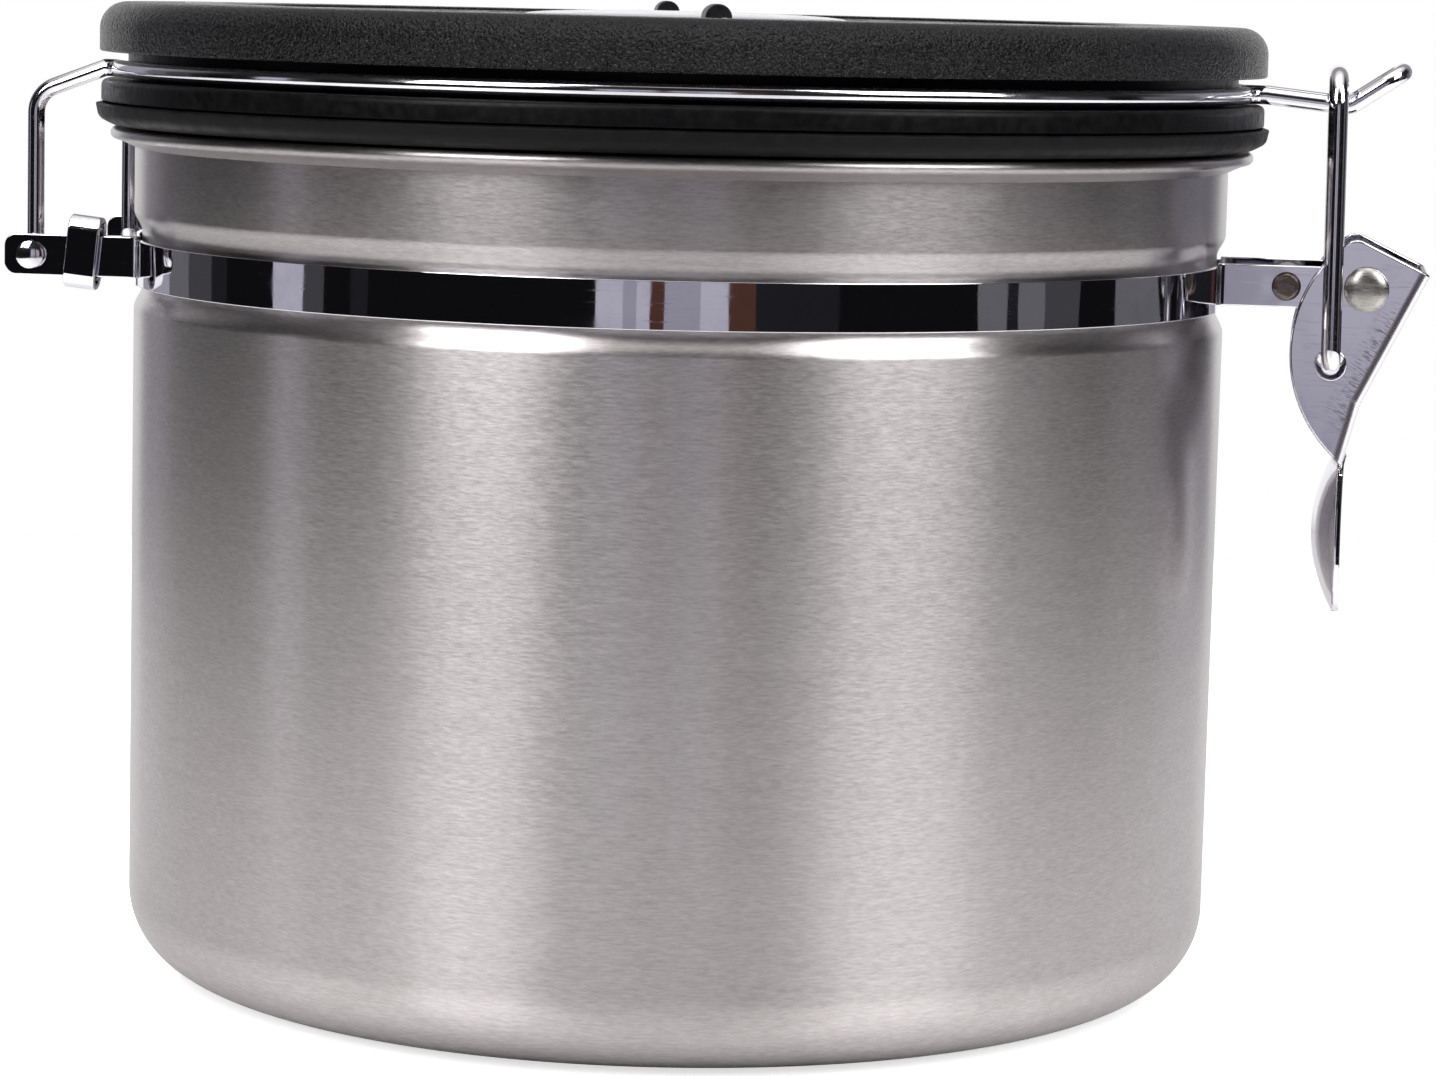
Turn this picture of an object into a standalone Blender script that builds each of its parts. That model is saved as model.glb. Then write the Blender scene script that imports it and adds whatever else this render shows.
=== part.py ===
"""Coffee canister with a wire bail, an over-centre latch and a lid with two date dials.

A drawn steel can with a rolled rim stands on z = 0. A clamp band sits in a groove round it, and the
ends of the band make the hinge ears at -X and the latch tabs at +X. A wire bail turns in the ears,
lies in the groove of the plastic lid and ends in a hook. A lever on the tabs pulls the hook down with
a wire loop. Metres, +Z up, origin at the centre of the base.
"""
import math

import bmesh
import bpy
from mathutils import Euler, Matrix, Vector

# Driving dimensions of the can
BODY_RADIUS = 0.0620
BODY_WALL = 0.0006
RIM_HEIGHT = 0.0954
BASE_CORNER = 0.0090

# Driving dimensions of the clamp band and its strips
BAND_DROP = 0.0150
BAND_WIDTH = 0.0051
STRIP_THICKNESS = 0.0006
STRAP_WIDTH = 0.0046
STRAP_RISE = 0.0006

# Driving dimensions of the hinge, the bail and the lid
HINGE_REACH = 0.00815
LEG_OFFSET = 0.0200
BAIL_WIRE = 0.0019
LID_OVERHANG = 0.0040
LID_RISE = 0.0139
SKIRT_RISE = 0.0053
CAP_DEPTH = 0.0055
NECK_SETBACK = 0.0032

# Driving dimensions of the latch
PIVOT_REACH = 0.0158
TAB_OFFSET = 0.0069
LEVER_SHEET = 0.0008
LEVER_DROP = 0.0198
LOOP_WIRE = 0.00215
HOOK_OFFSET = 0.0055

# Gap between solids that touch, and how far a cutter runs past what it trims
GAP = 0.0003
OVERRUN = 0.0020

# How finely round things are faceted
TURN_STEPS = 40
SMALL_TURN_STEPS = 20
RIVET_STEPS = 14
HOLE_STEPS = 10
WIRE_BEVEL_STEPS = 2
MERGE_DISTANCE = 0.00001
SMOOTH_ANGLE = math.radians(35)

# Sizes and places that several pieces share
BAIL_RADIUS = BAIL_WIRE / 2
LOOP_RADIUS = LOOP_WIRE / 2
BAND_HEIGHT = RIM_HEIGHT - BAND_DROP
STRAP_HEIGHT = BAND_HEIGHT + STRAP_RISE
EAR_INNER = LEG_OFFSET + BAIL_RADIUS + GAP
EAR_OUTER = EAR_INNER + STRIP_THICKNESS
TAB_INNER = TAB_OFFSET - STRIP_THICKNESS / 2
TAB_OUTER = TAB_OFFSET + STRIP_THICKNESS / 2
LEVER_INNER = TAB_OUTER + GAP
LEVER_OUTER = LEVER_INNER + LEVER_SHEET
LID_RADIUS = BODY_RADIUS + LID_OVERHANG
NECK_RADIUS = LID_RADIUS - NECK_SETBACK
SKIRT_TOP = RIM_HEIGHT + SKIRT_RISE
LID_TOP = RIM_HEIGHT + LID_RISE
CAP_EDGE = LID_TOP - CAP_DEPTH
RING_HEIGHT = SKIRT_TOP + GAP + BAIL_RADIUS
RING_RADIUS = NECK_RADIUS + GAP + BAIL_RADIUS
HINGE_PLACE = Vector((-(BODY_RADIUS + HINGE_REACH), 0, STRAP_HEIGHT))
PIVOT_PLACE = Vector((BODY_RADIUS + PIVOT_REACH, 0, STRAP_HEIGHT))

for item in list(bpy.data.objects):
    bpy.data.objects.remove(item, do_unlink=True)

PARTS = bpy.data.collections.new("coffee_canister")
CUTTERS = bpy.data.collections.new("cutters")
bpy.context.scene.collection.children.link(PARTS)
bpy.context.scene.collection.children.link(CUTTERS)
CUTTERS.hide_render = True


def finish(name, color, roughness, metallic):
    """A plain Principled material in the colour of the real surface."""
    material = bpy.data.materials.new(name)
    material.use_nodes = True
    shader = material.node_tree.nodes["Principled BSDF"]
    shader.inputs["Base Color"].default_value = (*color, 1)
    shader.inputs["Roughness"].default_value = roughness
    shader.inputs["Metallic"].default_value = metallic
    return material


BRUSHED_STEEL = finish("brushed_steel", (0.55, 0.52, 0.50), 0.32, 1)
CHROME = finish("chrome", (0.80, 0.80, 0.84), 0.08, 1)
RIVET_STEEL = finish("rivet_steel", (0.42, 0.40, 0.38), 0.30, 1)
GRAINED_BLACK = finish("grained_black_plastic", (0.022, 0.022, 0.025), 0.45, 0)
SMOOTH_BLACK = finish("smooth_black_plastic", (0.016, 0.016, 0.018), 0.32, 0)
GREY_SILICONE = finish("dark_grey_silicone", (0.055, 0.056, 0.062), 0.55, 0)
DIAL_GREY = finish("dial_grey_plastic", (0.045, 0.046, 0.050), 0.40, 0)
PALE_PLASTIC = finish("pale_plastic", (0.62, 0.62, 0.64), 0.15, 0)
PALE_SILICONE = finish("pale_silicone", (0.70, 0.69, 0.66), 0.50, 0)
WHITE_FELT = finish("white_felt", (0.82, 0.80, 0.76), 0.90, 0)


def add(name, data, material, cutter=False):
    """An object for the parts, or a hidden wire-drawn one for the cutters."""
    item = bpy.data.objects.new(name, data)
    if cutter:
        CUTTERS.objects.link(item)
        item.hide_render = True
        item.display_type = "WIRE"
    else:
        PARTS.objects.link(item)
    if material is not None:
        data.materials.append(material)
    return item


def axis_empty(name, place, parent=None):
    """An empty that stands on a joint's axis and carries what turns about it."""
    axis = bpy.data.objects.new(name, None)
    PARTS.objects.link(axis)
    axis.location = place
    return hang(axis, parent) if parent else axis


def hang(item, axis):
    """Parent an item to an axis, with its own location still read in the world."""
    bpy.context.view_layer.update()
    item.parent = axis
    item.matrix_parent_inverse = axis.matrix_world.inverted()
    return item


def cut(target, tool, operation="DIFFERENCE"):
    modifier = target.modifiers.new(operation.lower(), "BOOLEAN")
    modifier.operation = operation
    modifier.solver = "EXACT"
    modifier.object = tool


def to_mesh(item):
    """Swap an object for its evaluated mesh with its caps welded, so that it can be cut or joined."""
    bpy.context.view_layer.update()
    evaluated = item.evaluated_get(bpy.context.evaluated_depsgraph_get())
    mesh = bpy.data.meshes.new_from_object(evaluated)
    work = bmesh.new()
    work.from_mesh(mesh)
    bmesh.ops.remove_doubles(work, verts=work.verts, dist=MERGE_DISTANCE)
    bmesh.ops.recalc_face_normals(work, faces=work.faces)
    work.to_mesh(mesh)
    work.free()
    name = item.name
    cutter = item.name in CUTTERS.objects
    matrix = item.matrix_world.copy()
    bpy.data.objects.remove(item, do_unlink=True)
    swapped = add(name, mesh, None, cutter)
    swapped.matrix_world = matrix
    return swapped


def arc(centre, radius, start, end, count):
    """Points on an arc about centre, angles in degrees, both ends included."""
    points = []
    for index in range(count + 1):
        angle = math.radians(start + (end - start) * index / count)
        points.append((centre[0] + radius * math.cos(angle), centre[1] + radius * math.sin(angle)))
    return points


def arc_through(first, middle, last, count):
    """Points on the arc through three points, both ends included."""
    chord_a = middle - first
    chord_b = last - first
    twice_area = 2 * (chord_a.x * chord_b.y - chord_a.y * chord_b.x)
    square_a, square_b = chord_a.length_squared, chord_b.length_squared
    centre = first + Vector((
        (chord_b.y * square_a - chord_a.y * square_b) / twice_area,
        (chord_a.x * square_b - chord_b.x * square_a) / twice_area,
    ))
    start = math.degrees(math.atan2((first - centre).y, (first - centre).x)) % 360
    end = math.degrees(math.atan2((last - centre).y, (last - centre).x)) % 360
    return arc(centre, (first - centre).length, start, end, count)


def bend(before, corner, after, reach, count):
    """Points of the arc that rounds a corner and touches both runs at reach from it."""
    first = (before - corner).normalized()
    last = (after - corner).normalized()
    half = first.angle(last) / 2
    centre = corner + (first + last).normalized() * (reach / math.cos(half))
    start = corner + first * reach - centre
    end = corner + last * reach - centre
    sweep = start.angle(end)
    points = []
    for index in range(count + 1):
        share = index / count
        blend = start * math.sin((1 - share) * sweep) + end * math.sin(share * sweep)
        points.append(centre + blend / math.sin(sweep))
    return points


def circle_exit(radius, offset, reach):
    """Where a circle about Z turns into a straight run along X at a distance offset from it.

    Gives the corner's x, the angle at which the bend leaves the circle and the bend's reach.
    """
    leave = math.asin(offset / radius) + reach / radius
    run = (radius * math.sin(leave) - offset) / math.cos(leave)
    return radius * math.cos(leave) + run * math.sin(leave), leave, run


def round_run(radius, start, end, height, count):
    """Points along a circle about Z, angles in radians, both ends included."""
    points = []
    for index in range(count + 1):
        angle = start + (end - start) * index / count
        points.append(Vector((radius * math.cos(angle), radius * math.sin(angle), height)))
    return points


def mirrored(half):
    """A route and its reflection in y = 0, joined end to end."""
    return half + [Vector((point.x, -point.y, point.z)) for point in half[::-1]]


def strip_outline(path, thickness):
    """Both faces of a bent strip seen edge on, from its centre line."""
    left, right = [], []
    for index, point in enumerate(path):
        into = (point - path[index - 1]).xy.normalized() if index else None
        out = (path[index + 1] - point).xy.normalized() if index < len(path) - 1 else into
        into = into or out
        along = (into + out).normalized()
        normal = Vector((-along.y, along.x)) * (thickness / 2 / along.dot(into))
        left.append(tuple(point.xy + normal))
        right.append(tuple(point.xy - normal))
    return left + right[::-1]


def turned(name, profile, material, closed=True, steps=TURN_STEPS, cutter=False):
    """A turned piece. Its profile of radius and height runs down the outer side."""
    mesh = bpy.data.meshes.new(name)
    edges = [(index, index + 1) for index in range(len(profile) - 1)]
    if closed:
        edges.append((len(profile) - 1, 0))
    mesh.from_pydata([(radius, 0, height) for radius, height in profile], edges, [])
    item = add(name, mesh, material, cutter)
    screw = item.modifiers.new("turn", "SCREW")
    screw.steps = steps
    screw.render_steps = steps
    screw.use_merge_vertices = True
    screw.merge_threshold = MERGE_DISTANCE
    screw.use_smooth_shade = True
    return item


def plate(name, outlines, thickness, material, cutter=False):
    """A flat outline, with holes as further outlines, thickened about its own plane."""
    curve = bpy.data.curves.new(name, "CURVE")
    curve.dimensions = "2D"
    curve.fill_mode = "BOTH"
    curve.extrude = thickness / 2
    for outline in outlines:
        spline = curve.splines.new("POLY")
        spline.points.add(len(outline) - 1)
        for point, (x, y) in zip(spline.points, outline):
            point.co = (x, y, 0, 1)
        spline.use_cyclic_u = True
    return to_mesh(add(name, curve, material, cutter))


def wire(name, points, radius, material, swell_shares=None):
    """A round wire along points; swell_shares widens it at the points that it names."""
    curve = bpy.data.curves.new(name, "CURVE")
    curve.dimensions = "3D"
    curve.bevel_depth = radius
    curve.bevel_resolution = WIRE_BEVEL_STEPS
    curve.use_fill_caps = True
    spline = curve.splines.new("POLY")
    spline.points.add(len(points) - 1)
    for index, point in enumerate(points):
        spline.points[index].co = (*point, 1)
        spline.points[index].radius = (swell_shares or {}).get(index, 1)
    item = to_mesh(add(name, curve, material))
    item.data.shade_smooth()
    item.data.set_sharp_from_angle(angle=SMOOTH_ANGLE)
    return item


def rod(name, place, radius, length, steps=RIVET_STEPS, upright=False):
    """A round cutter centred on place, along Y or upright."""
    half = length / 2
    profile = [(0, half), (radius, half), (radius, -half), (0, -half)]
    item = turned(name, profile, None, closed=False, steps=steps, cutter=True)
    if not upright:
        item.rotation_euler = (math.pi / 2, 0, 0)
    item.location = place
    return item


def ring_of(item, count, radius, start):
    """Turn an item into one mesh of several copies of it, spread on a circle about Z."""
    item = to_mesh(item)
    single = item.data.copy()
    work = bmesh.new()
    for index in range(count):
        angle = math.radians(start + 360 * index / count)
        copy = single.copy()
        copy.transform(Matrix.Rotation(angle, 4, "Z") @ Matrix.Translation((radius, 0, 0)))
        work.from_mesh(copy)
        bpy.data.meshes.remove(copy)
    work.to_mesh(item.data)
    work.free()
    bpy.data.meshes.remove(single)
    return item


# Can body: drawn steel with a stamped base, a groove for the band, a flare and a rolled rim
GROOVE_DEPTH = 0.0009
GROOVE_MARGIN = 0.0004
SHOULDER_HEIGHT = 0.0016
RIM_ROLL = 0.00065
RIM_REACH = 0.0021
FLARE_HEIGHT = 0.0022
BEAD_INSET = 0.0165
BEAD_WIDTH = 0.0050
BEAD_DEPTH = 0.0007
CORNER_STEPS = 5
BEAD_RADIUS = BODY_RADIUS - BEAD_INSET
GROOVE_TOP = max(BAND_HEIGHT + BAND_WIDTH / 2, STRAP_HEIGHT + STRAP_WIDTH / 2) + GROOVE_MARGIN
GROOVE_BOTTOM = BAND_HEIGHT - BAND_WIDTH / 2 - GROOVE_MARGIN


def shoulder(radius, low, high, count):
    """The soft step from the groove, at low, out to the full radius, at high."""
    points = []
    for index in range(count + 1):
        share = index / count
        step_share = share * share * (3 - 2 * share)
        points.append((radius - GROOVE_DEPTH * (1 - step_share), low + (high - low) * share))
    return points


def can_side(inset, count):
    """The side of the can from the foot of the flare down to the base corner."""
    radius = BODY_RADIUS - inset
    upper = shoulder(radius, GROOVE_TOP, GROOVE_TOP + SHOULDER_HEIGHT, count)
    lower = shoulder(radius, GROOVE_BOTTOM, GROOVE_BOTTOM - SHOULDER_HEIGHT, count)
    return [(radius, RIM_HEIGHT - FLARE_HEIGHT)] + upper[::-1] + lower


def base_bead(lift):
    """The ring stamped up into the base, from the outside in."""
    half = BEAD_WIDTH / 2
    return [
        (BEAD_RADIUS + half, lift),
        (BEAD_RADIUS + half - BEAD_DEPTH, lift + BEAD_DEPTH),
        (BEAD_RADIUS - half + BEAD_DEPTH, lift + BEAD_DEPTH),
        (BEAD_RADIUS - half, lift),
    ]


def build_can_body():
    corner = (BODY_RADIUS - BASE_CORNER, BASE_CORNER)
    inside = can_side(BODY_WALL, 1) + arc(corner, BASE_CORNER - BODY_WALL, 0, -90, CORNER_STEPS - 1)
    inside += base_bead(BODY_WALL) + [(0, BODY_WALL)]
    rim = arc((BODY_RADIUS + RIM_REACH, RIM_HEIGHT - RIM_ROLL), RIM_ROLL, 135, -100, CORNER_STEPS)
    outside = can_side(0, 3) + arc(corner, BASE_CORNER, 0, -90, CORNER_STEPS + 1)
    outside += base_bead(0) + [(0, 0)]
    return turned("can_body", inside[::-1] + rim + outside, BRUSHED_STEEL, closed=False)


# Clamp band: two bent strips, each with a hinge ear and a latch tab, in the groove of the can
EAR_END = 0.0031
EAR_CORNER = 0.0014
TAB_END = 0.0026
EAR_FOLD = 0.0013
TAB_FOLD = 0.0010
CLOSING_REACH = 0.0070
CLOSING_SHANK = 0.0012
PIVOT_SHANK = 0.0013
FOLD_STEPS = 3
BAND_STEPS = 22
TAB_END_STEPS = 6
EAR_CORNER_STEPS = 3
BAND_LINE = BODY_RADIUS - GROOVE_DEPTH + GAP + STRIP_THICKNESS / 2
EAR_LINE = EAR_INNER + STRIP_THICKNESS / 2
EAR_TIP = HINGE_PLACE.x - EAR_END
TAB_TIP = PIVOT_PLACE.x + TAB_END
CLOSING_X = BODY_RADIUS + CLOSING_REACH


def band_path():
    """Centre line of the front strip in plan, a little too long at both ends for the trim."""
    ear_x, ear_leave, ear_run = circle_exit(BAND_LINE, EAR_LINE, EAR_FOLD)
    tab_x, tab_leave, tab_run = circle_exit(BAND_LINE, TAB_OFFSET, TAB_FOLD)
    ear_tip = Vector((EAR_TIP - OVERRUN, -EAR_LINE, 0))
    tab_tip = Vector((TAB_TIP + OVERRUN, -TAB_OFFSET, 0))
    around = round_run(BAND_LINE, math.pi + ear_leave, 2 * math.pi - tab_leave, 0, BAND_STEPS)
    ear_bend = bend(ear_tip, Vector((-ear_x, -EAR_LINE, 0)), around[0], ear_run, FOLD_STEPS)
    tab_bend = bend(around[-1], Vector((tab_x, -TAB_OFFSET, 0)), tab_tip, tab_run, FOLD_STEPS)
    return [ear_tip] + ear_bend[:-1] + around + tab_bend[1:] + [tab_tip]


def band_side_view():
    """The strip seen from the front: full width round the can, with a narrower ear and tab."""
    wide = BAND_WIDTH / 2
    low = STRAP_RISE - STRAP_WIDTH / 2
    high = STRAP_RISE + STRAP_WIDTH / 2
    tab_step = BAND_LINE - STRIP_THICKNESS / 2
    ear_step = math.sqrt(BODY_RADIUS ** 2 - EAR_OUTER ** 2)
    ear_x = EAR_TIP + EAR_CORNER
    outline = [(-ear_step, -wide), (tab_step, -wide), (tab_step, low)]
    outline += arc((TAB_TIP - STRAP_WIDTH / 2, STRAP_RISE), STRAP_WIDTH / 2, -90, 90, TAB_END_STEPS)
    outline += [(tab_step, high), (tab_step, wide), (-ear_step, wide), (-ear_step, high)]
    outline += arc((ear_x, high - EAR_CORNER), EAR_CORNER, 90, 180, EAR_CORNER_STEPS)
    outline += arc((ear_x, low + EAR_CORNER), EAR_CORNER, 180, 270, EAR_CORNER_STEPS)
    return outline + [(-ear_step, low)]


def build_band(name, side):
    """The strip at the front, side -1, or at the rear, side 1."""
    outline = [(x, -side * y) for x, y in strip_outline(band_path(), STRIP_THICKNESS)]
    band = plate(name, [outline], 2 * (BAND_WIDTH + STRAP_RISE), CHROME)
    band.location = (0, 0, BAND_HEIGHT)
    trim = plate(name + "_side_view", [band_side_view()], 2 * (BODY_RADIUS + OVERRUN), None, True)
    trim.rotation_euler = (math.pi / 2, 0, 0)
    trim.location = (0, 0, BAND_HEIGHT)
    cut(band, trim, "INTERSECT")
    places = (
        ("pin_hole", HINGE_PLACE.x, EAR_LINE, BAIL_RADIUS + GAP),
        ("closing_hole", CLOSING_X, TAB_OFFSET, CLOSING_SHANK + GAP),
        ("pivot_hole", PIVOT_PLACE.x, TAB_OFFSET, PIVOT_SHANK + GAP),
    )
    for label, x, offset, radius in places:
        place = (x, side * offset, STRAP_HEIGHT)
        cut(band, rod(f"{name}_{label}", place, radius, STRIP_THICKNESS + OVERRUN))
    return band


# Hinge bridge: a short strip behind the can that ties the two ears together
BRIDGE_REACH = 0.0050
BRIDGE_STEPS = 8
BRIDGE_LINE = EAR_INNER - GAP - STRIP_THICKNESS / 2


def build_hinge_bridge():
    """A U in plan: its back lies in the groove and its two ends lie inside the ears."""
    corner_x, leave, run = circle_exit(BAND_LINE, BRIDGE_LINE, -EAR_FOLD)
    tip = Vector((-(BODY_RADIUS + BRIDGE_REACH), -BRIDGE_LINE, 0))
    back = round_run(BAND_LINE, math.pi + leave, math.pi - leave, 0, BRIDGE_STEPS)
    half = [tip] + bend(tip, Vector((-corner_x, -BRIDGE_LINE, 0)), back[0], -run, FOLD_STEPS)
    path = half + back[1:-1] + mirrored(half)[len(half):]
    bridge = plate("hinge_bridge", [strip_outline(path, STRIP_THICKNESS)], STRAP_WIDTH, CHROME)
    bridge.location = (0, 0, STRAP_HEIGHT)
    return bridge


# Hinge collars: crimped oval sleeves, each clasping an ear and an end of the bridge
COLLAR_WALL = 0.0007
COLLAR_LENGTH = 0.0036
COLLAR_HEIGHT = 0.0082
COLLAR_REACH = 0.0022
COLLAR_RISE = 0.0004
COLLAR_LEAN = math.radians(6)
COLLAR_END_STEPS = 6


def oval(width, height):
    """An upright outline with round ends, centred on zero."""
    radius = width / 2
    lift = height / 2 - radius
    top = arc((0, lift), radius, 0, 180, COLLAR_END_STEPS)
    return top + arc((0, -lift), radius, 180, 360, COLLAR_END_STEPS)


def build_hinge_collar(name, side):
    bore = 2 * STRIP_THICKNESS + 3 * GAP
    outside = oval(bore + 2 * COLLAR_WALL, COLLAR_HEIGHT)
    inside = oval(bore, COLLAR_HEIGHT - 2 * COLLAR_WALL)
    collar = plate(name, [outside, inside], COLLAR_LENGTH, CHROME)
    upright = Euler((math.pi / 2, 0, math.pi / 2)).to_matrix()
    collar.rotation_euler = (Matrix.Rotation(COLLAR_LEAN, 3, "Y") @ upright).to_euler()
    middle = (EAR_OUTER + BRIDGE_LINE - STRIP_THICKNESS / 2) / 2
    collar.location = (-(BODY_RADIUS + COLLAR_REACH), side * middle, STRAP_HEIGHT + COLLAR_RISE)
    return collar


# Rivets across the latch tabs: one closes the band and the other is the lever's pivot
CLOSING_SPACER = 0.0020
CLOSING_HEAD = 0.0015
CLOSING_HEAD_HEIGHT = 0.0006
PIVOT_HEAD = 0.0025
PIVOT_HEAD_HEIGHT = 0.0010
DOME_STEPS = 4


def dome(radius, height, base, count):
    """A low dome's profile from its top to its edge."""
    points = [(0, base + height)]
    for index in range(1, count + 1):
        angle = math.pi / 2 * (1 - index / count)
        points.append((radius * math.cos(angle), base + height * math.sin(angle)))
    return points


def rivet_across(name, half_profile, material, x):
    """A rivet along Y, alike on both sides of the middle."""
    profile = half_profile + [(radius, -height) for radius, height in half_profile[::-1]]
    rivet = turned(name, profile, material, closed=False, steps=RIVET_STEPS)
    rivet.rotation_euler = (math.pi / 2, 0, 0)
    rivet.location = (x, 0, STRAP_HEIGHT)
    return rivet


def build_closing_rivet():
    seat = TAB_OUTER + GAP
    spacer_end = TAB_INNER - GAP
    half = [
        (0, seat + CLOSING_HEAD_HEIGHT),
        (CLOSING_HEAD, seat + CLOSING_HEAD_HEIGHT),
        (CLOSING_HEAD, seat),
        (CLOSING_SHANK, seat),
        (CLOSING_SHANK, spacer_end),
        (CLOSING_SPACER, spacer_end),
    ]
    return rivet_across("closing_rivet", half, RIVET_STEEL, CLOSING_X)


def build_lever_pivot():
    seat = LEVER_OUTER + GAP
    half = dome(PIVOT_HEAD, PIVOT_HEAD_HEIGHT, seat, DOME_STEPS) + [(PIVOT_SHANK, seat)]
    return rivet_across("lever_pivot", half, BRUSHED_STEEL, PIVOT_PLACE.x)


# Latch lever: folded sheet with two cheeks, an outer web and a dished thumb tab below the neck
LEVER_FOLD = 0.0008
LEVER_NOSE = 0.0010
CHEEK_TOP_SHARES = (-0.063, 0.286)
CHEEK_SHOULDER_SHARES = (-0.150, 0.235)
CHEEK_BELLY_SHARES = (-0.412, -0.323)
CHEEK_HEEL_SHARES = (-0.202, -0.896)
WEB_TOP_SHARES = (0.352, 0.087)
WEB_KNEE_SHARES = (-0.010, -0.653)
NECK_SHARES = (-0.100, -1.0)
WELL_FLOOR_SHARE = -0.93
LOOP_PLACE_SHARES = (-0.1818, -0.4293)
LOOP_HOLE_PLAY = 0.0005
CHEEK_STEPS = 7
NOSE_STEPS = 3
FOLD_SEGMENTS = 2
THUMB_LENGTH = 0.0180
THUMB_HALF_WIDTH = 0.0083
THUMB_DISH = 0.0026
THUMB_ROOT = 0.0012
THUMB_COLUMNS = 8
DISH_CURVE_SHARE = 0.8
THUMB_OUTLINE_SHARES = (
    (0.0, 0.80),
    (0.14, 0.86),
    (0.32, 0.94),
    (0.52, 1.0),
    (0.70, 1.0),
    (0.84, 0.92),
    (0.94, 0.74),
    (1.0, 0.46),
)


def on_lever(shares):
    """A point beside the pivot, in x and height, from shares of the lever's drop."""
    return Vector((shares[0] * LEVER_DROP, shares[1] * LEVER_DROP, 0))


LOOP_PLACE = PIVOT_PLACE + on_lever(LOOP_PLACE_SHARES).xzy


def cheek_outline():
    """The folded lever seen from the front, about its pivot."""
    web_top, top = on_lever(WEB_TOP_SHARES), on_lever(CHEEK_TOP_SHARES)
    brow, belly, heel = (on_lever(s) for s in (CHEEK_SHOULDER_SHARES, CHEEK_BELLY_SHARES, CHEEK_HEEL_SHARES))
    nose = [tuple(point.xy) for point in bend(web_top, top, brow, LEVER_NOSE, NOSE_STEPS)]
    edge = arc_through(brow.xy, belly.xy, heel.xy, CHEEK_STEPS)
    below = [tuple(on_lever(shares).xy) for shares in (NECK_SHARES, WEB_KNEE_SHARES, WEB_TOP_SHARES)]
    return nose + edge + below


def well_outline():
    """The hollow between the cheeks: one sheet inside the web, open at the top and towards the can."""
    top, knee, neck = (on_lever(shares) for shares in (WEB_TOP_SHARES, WEB_KNEE_SHARES, NECK_SHARES))
    upper = (top - knee).normalized()
    lower = (knee - neck).normalized()
    upper_in = Vector((-upper.y, upper.x, 0))
    lower_in = Vector((-lower.y, lower.x, 0))
    above = top + upper * LEVER_DROP + upper_in * LEVER_SHEET
    inner_knee = knee + (upper_in + lower_in).normalized() * LEVER_SHEET
    floor = WELL_FLOOR_SHARE * LEVER_DROP
    corner = inner_knee + lower * ((floor - inner_knee.y) / lower.y)
    front = -LEVER_DROP
    return [above.xy, inner_knee.xy, corner.xy, (front, floor), (front, above.y)]


def round_folds(lever):
    """Round the outer edges where the cheeks are folded from the web."""
    work = bmesh.new()
    work.from_mesh(lever.data)
    bmesh.ops.dissolve_limit(work, angle_limit=math.radians(1), verts=work.verts, edges=work.edges)
    places = [on_lever(shares).xy for shares in (WEB_TOP_SHARES, WEB_KNEE_SHARES, NECK_SHARES)]
    folds = []
    for edge in work.edges:
        flat = abs(edge.verts[0].co.z - edge.verts[1].co.z) < MERGE_DISTANCE
        on_web = all(min((v.co.xy - p).length for p in places) < MERGE_DISTANCE for v in edge.verts)
        if flat and on_web:
            folds.append(edge)
    bmesh.ops.bevel(work, geom=folds, offset=LEVER_FOLD, segments=FOLD_SEGMENTS, profile=0.5, affect="EDGES")
    work.to_mesh(lever.data)
    work.free()


def build_thumb_tab():
    """A dished leaf below the neck: an open sheet that Solidify thickens."""
    neck = on_lever(NECK_SHARES)
    columns = THUMB_COLUMNS + 1
    points = []
    for down_share, width_share in THUMB_OUTLINE_SHARES:
        for column in range(columns):
            across_share = 2 * column / THUMB_COLUMNS - 1
            dish_share = abs(math.sin(math.pi * down_share)) ** DISH_CURVE_SHARE * (1 - across_share ** 2)
            x = neck.x - THUMB_DISH * dish_share
            y = across_share * width_share * THUMB_HALF_WIDTH
            points.append((x, y, neck.y + THUMB_ROOT - down_share * THUMB_LENGTH))
    faces = []
    for row in range(len(THUMB_OUTLINE_SHARES) - 1):
        for column in range(THUMB_COLUMNS):
            first = row * columns + column
            faces.append((first, first + 1, first + 1 + columns, first + columns))
    mesh = bpy.data.meshes.new("thumb_tab")
    mesh.from_pydata(points, [], faces)
    tab = add("thumb_tab", mesh, None, cutter=True)
    sheet = tab.modifiers.new("sheet", "SOLIDIFY")
    sheet.thickness = LEVER_SHEET
    sheet.offset = 0
    tab.location = PIVOT_PLACE
    return tab


def build_latch_lever(axis):
    lever = plate("latch_lever", [cheek_outline()], 2 * LEVER_OUTER, CHROME)
    round_folds(lever)
    well = plate("lever_well", [well_outline()], 2 * LEVER_INNER, None, True)
    for item in (lever, well):
        item.rotation_euler = (math.pi / 2, 0, 0)
        item.location = PIVOT_PLACE
    cut(lever, well)
    cut(lever, build_thumb_tab(), "UNION")
    across = 2 * (LEVER_OUTER + OVERRUN)
    cut(lever, rod("lever_pivot_hole", PIVOT_PLACE, PIVOT_SHANK + GAP, across))
    cut(lever, rod("lever_loop_hole", LOOP_PLACE, LOOP_RADIUS + LOOP_HOLE_PLAY, across))
    return hang(lever, axis)


# Latch loop: a wire stirrup that turns in the lever's cheeks and reaches up over the hook
LOOP_LEG = LEVER_OUTER + GAP + PIVOT_HEAD_HEIGHT + GAP + LOOP_RADIUS
LOOP_TAIL = 0.0010
LOOP_TOP_BEND = 0.0035
LOOP_FOOT_BEND = 0.0020
LOOP_LEAN = 0.0003
LOOP_BEND_STEPS = 4
LATCH_PLAY = 0.0013
HOOK_DROP = 0.00095
HOOK_HEIGHT = RING_HEIGHT - HOOK_DROP


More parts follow.
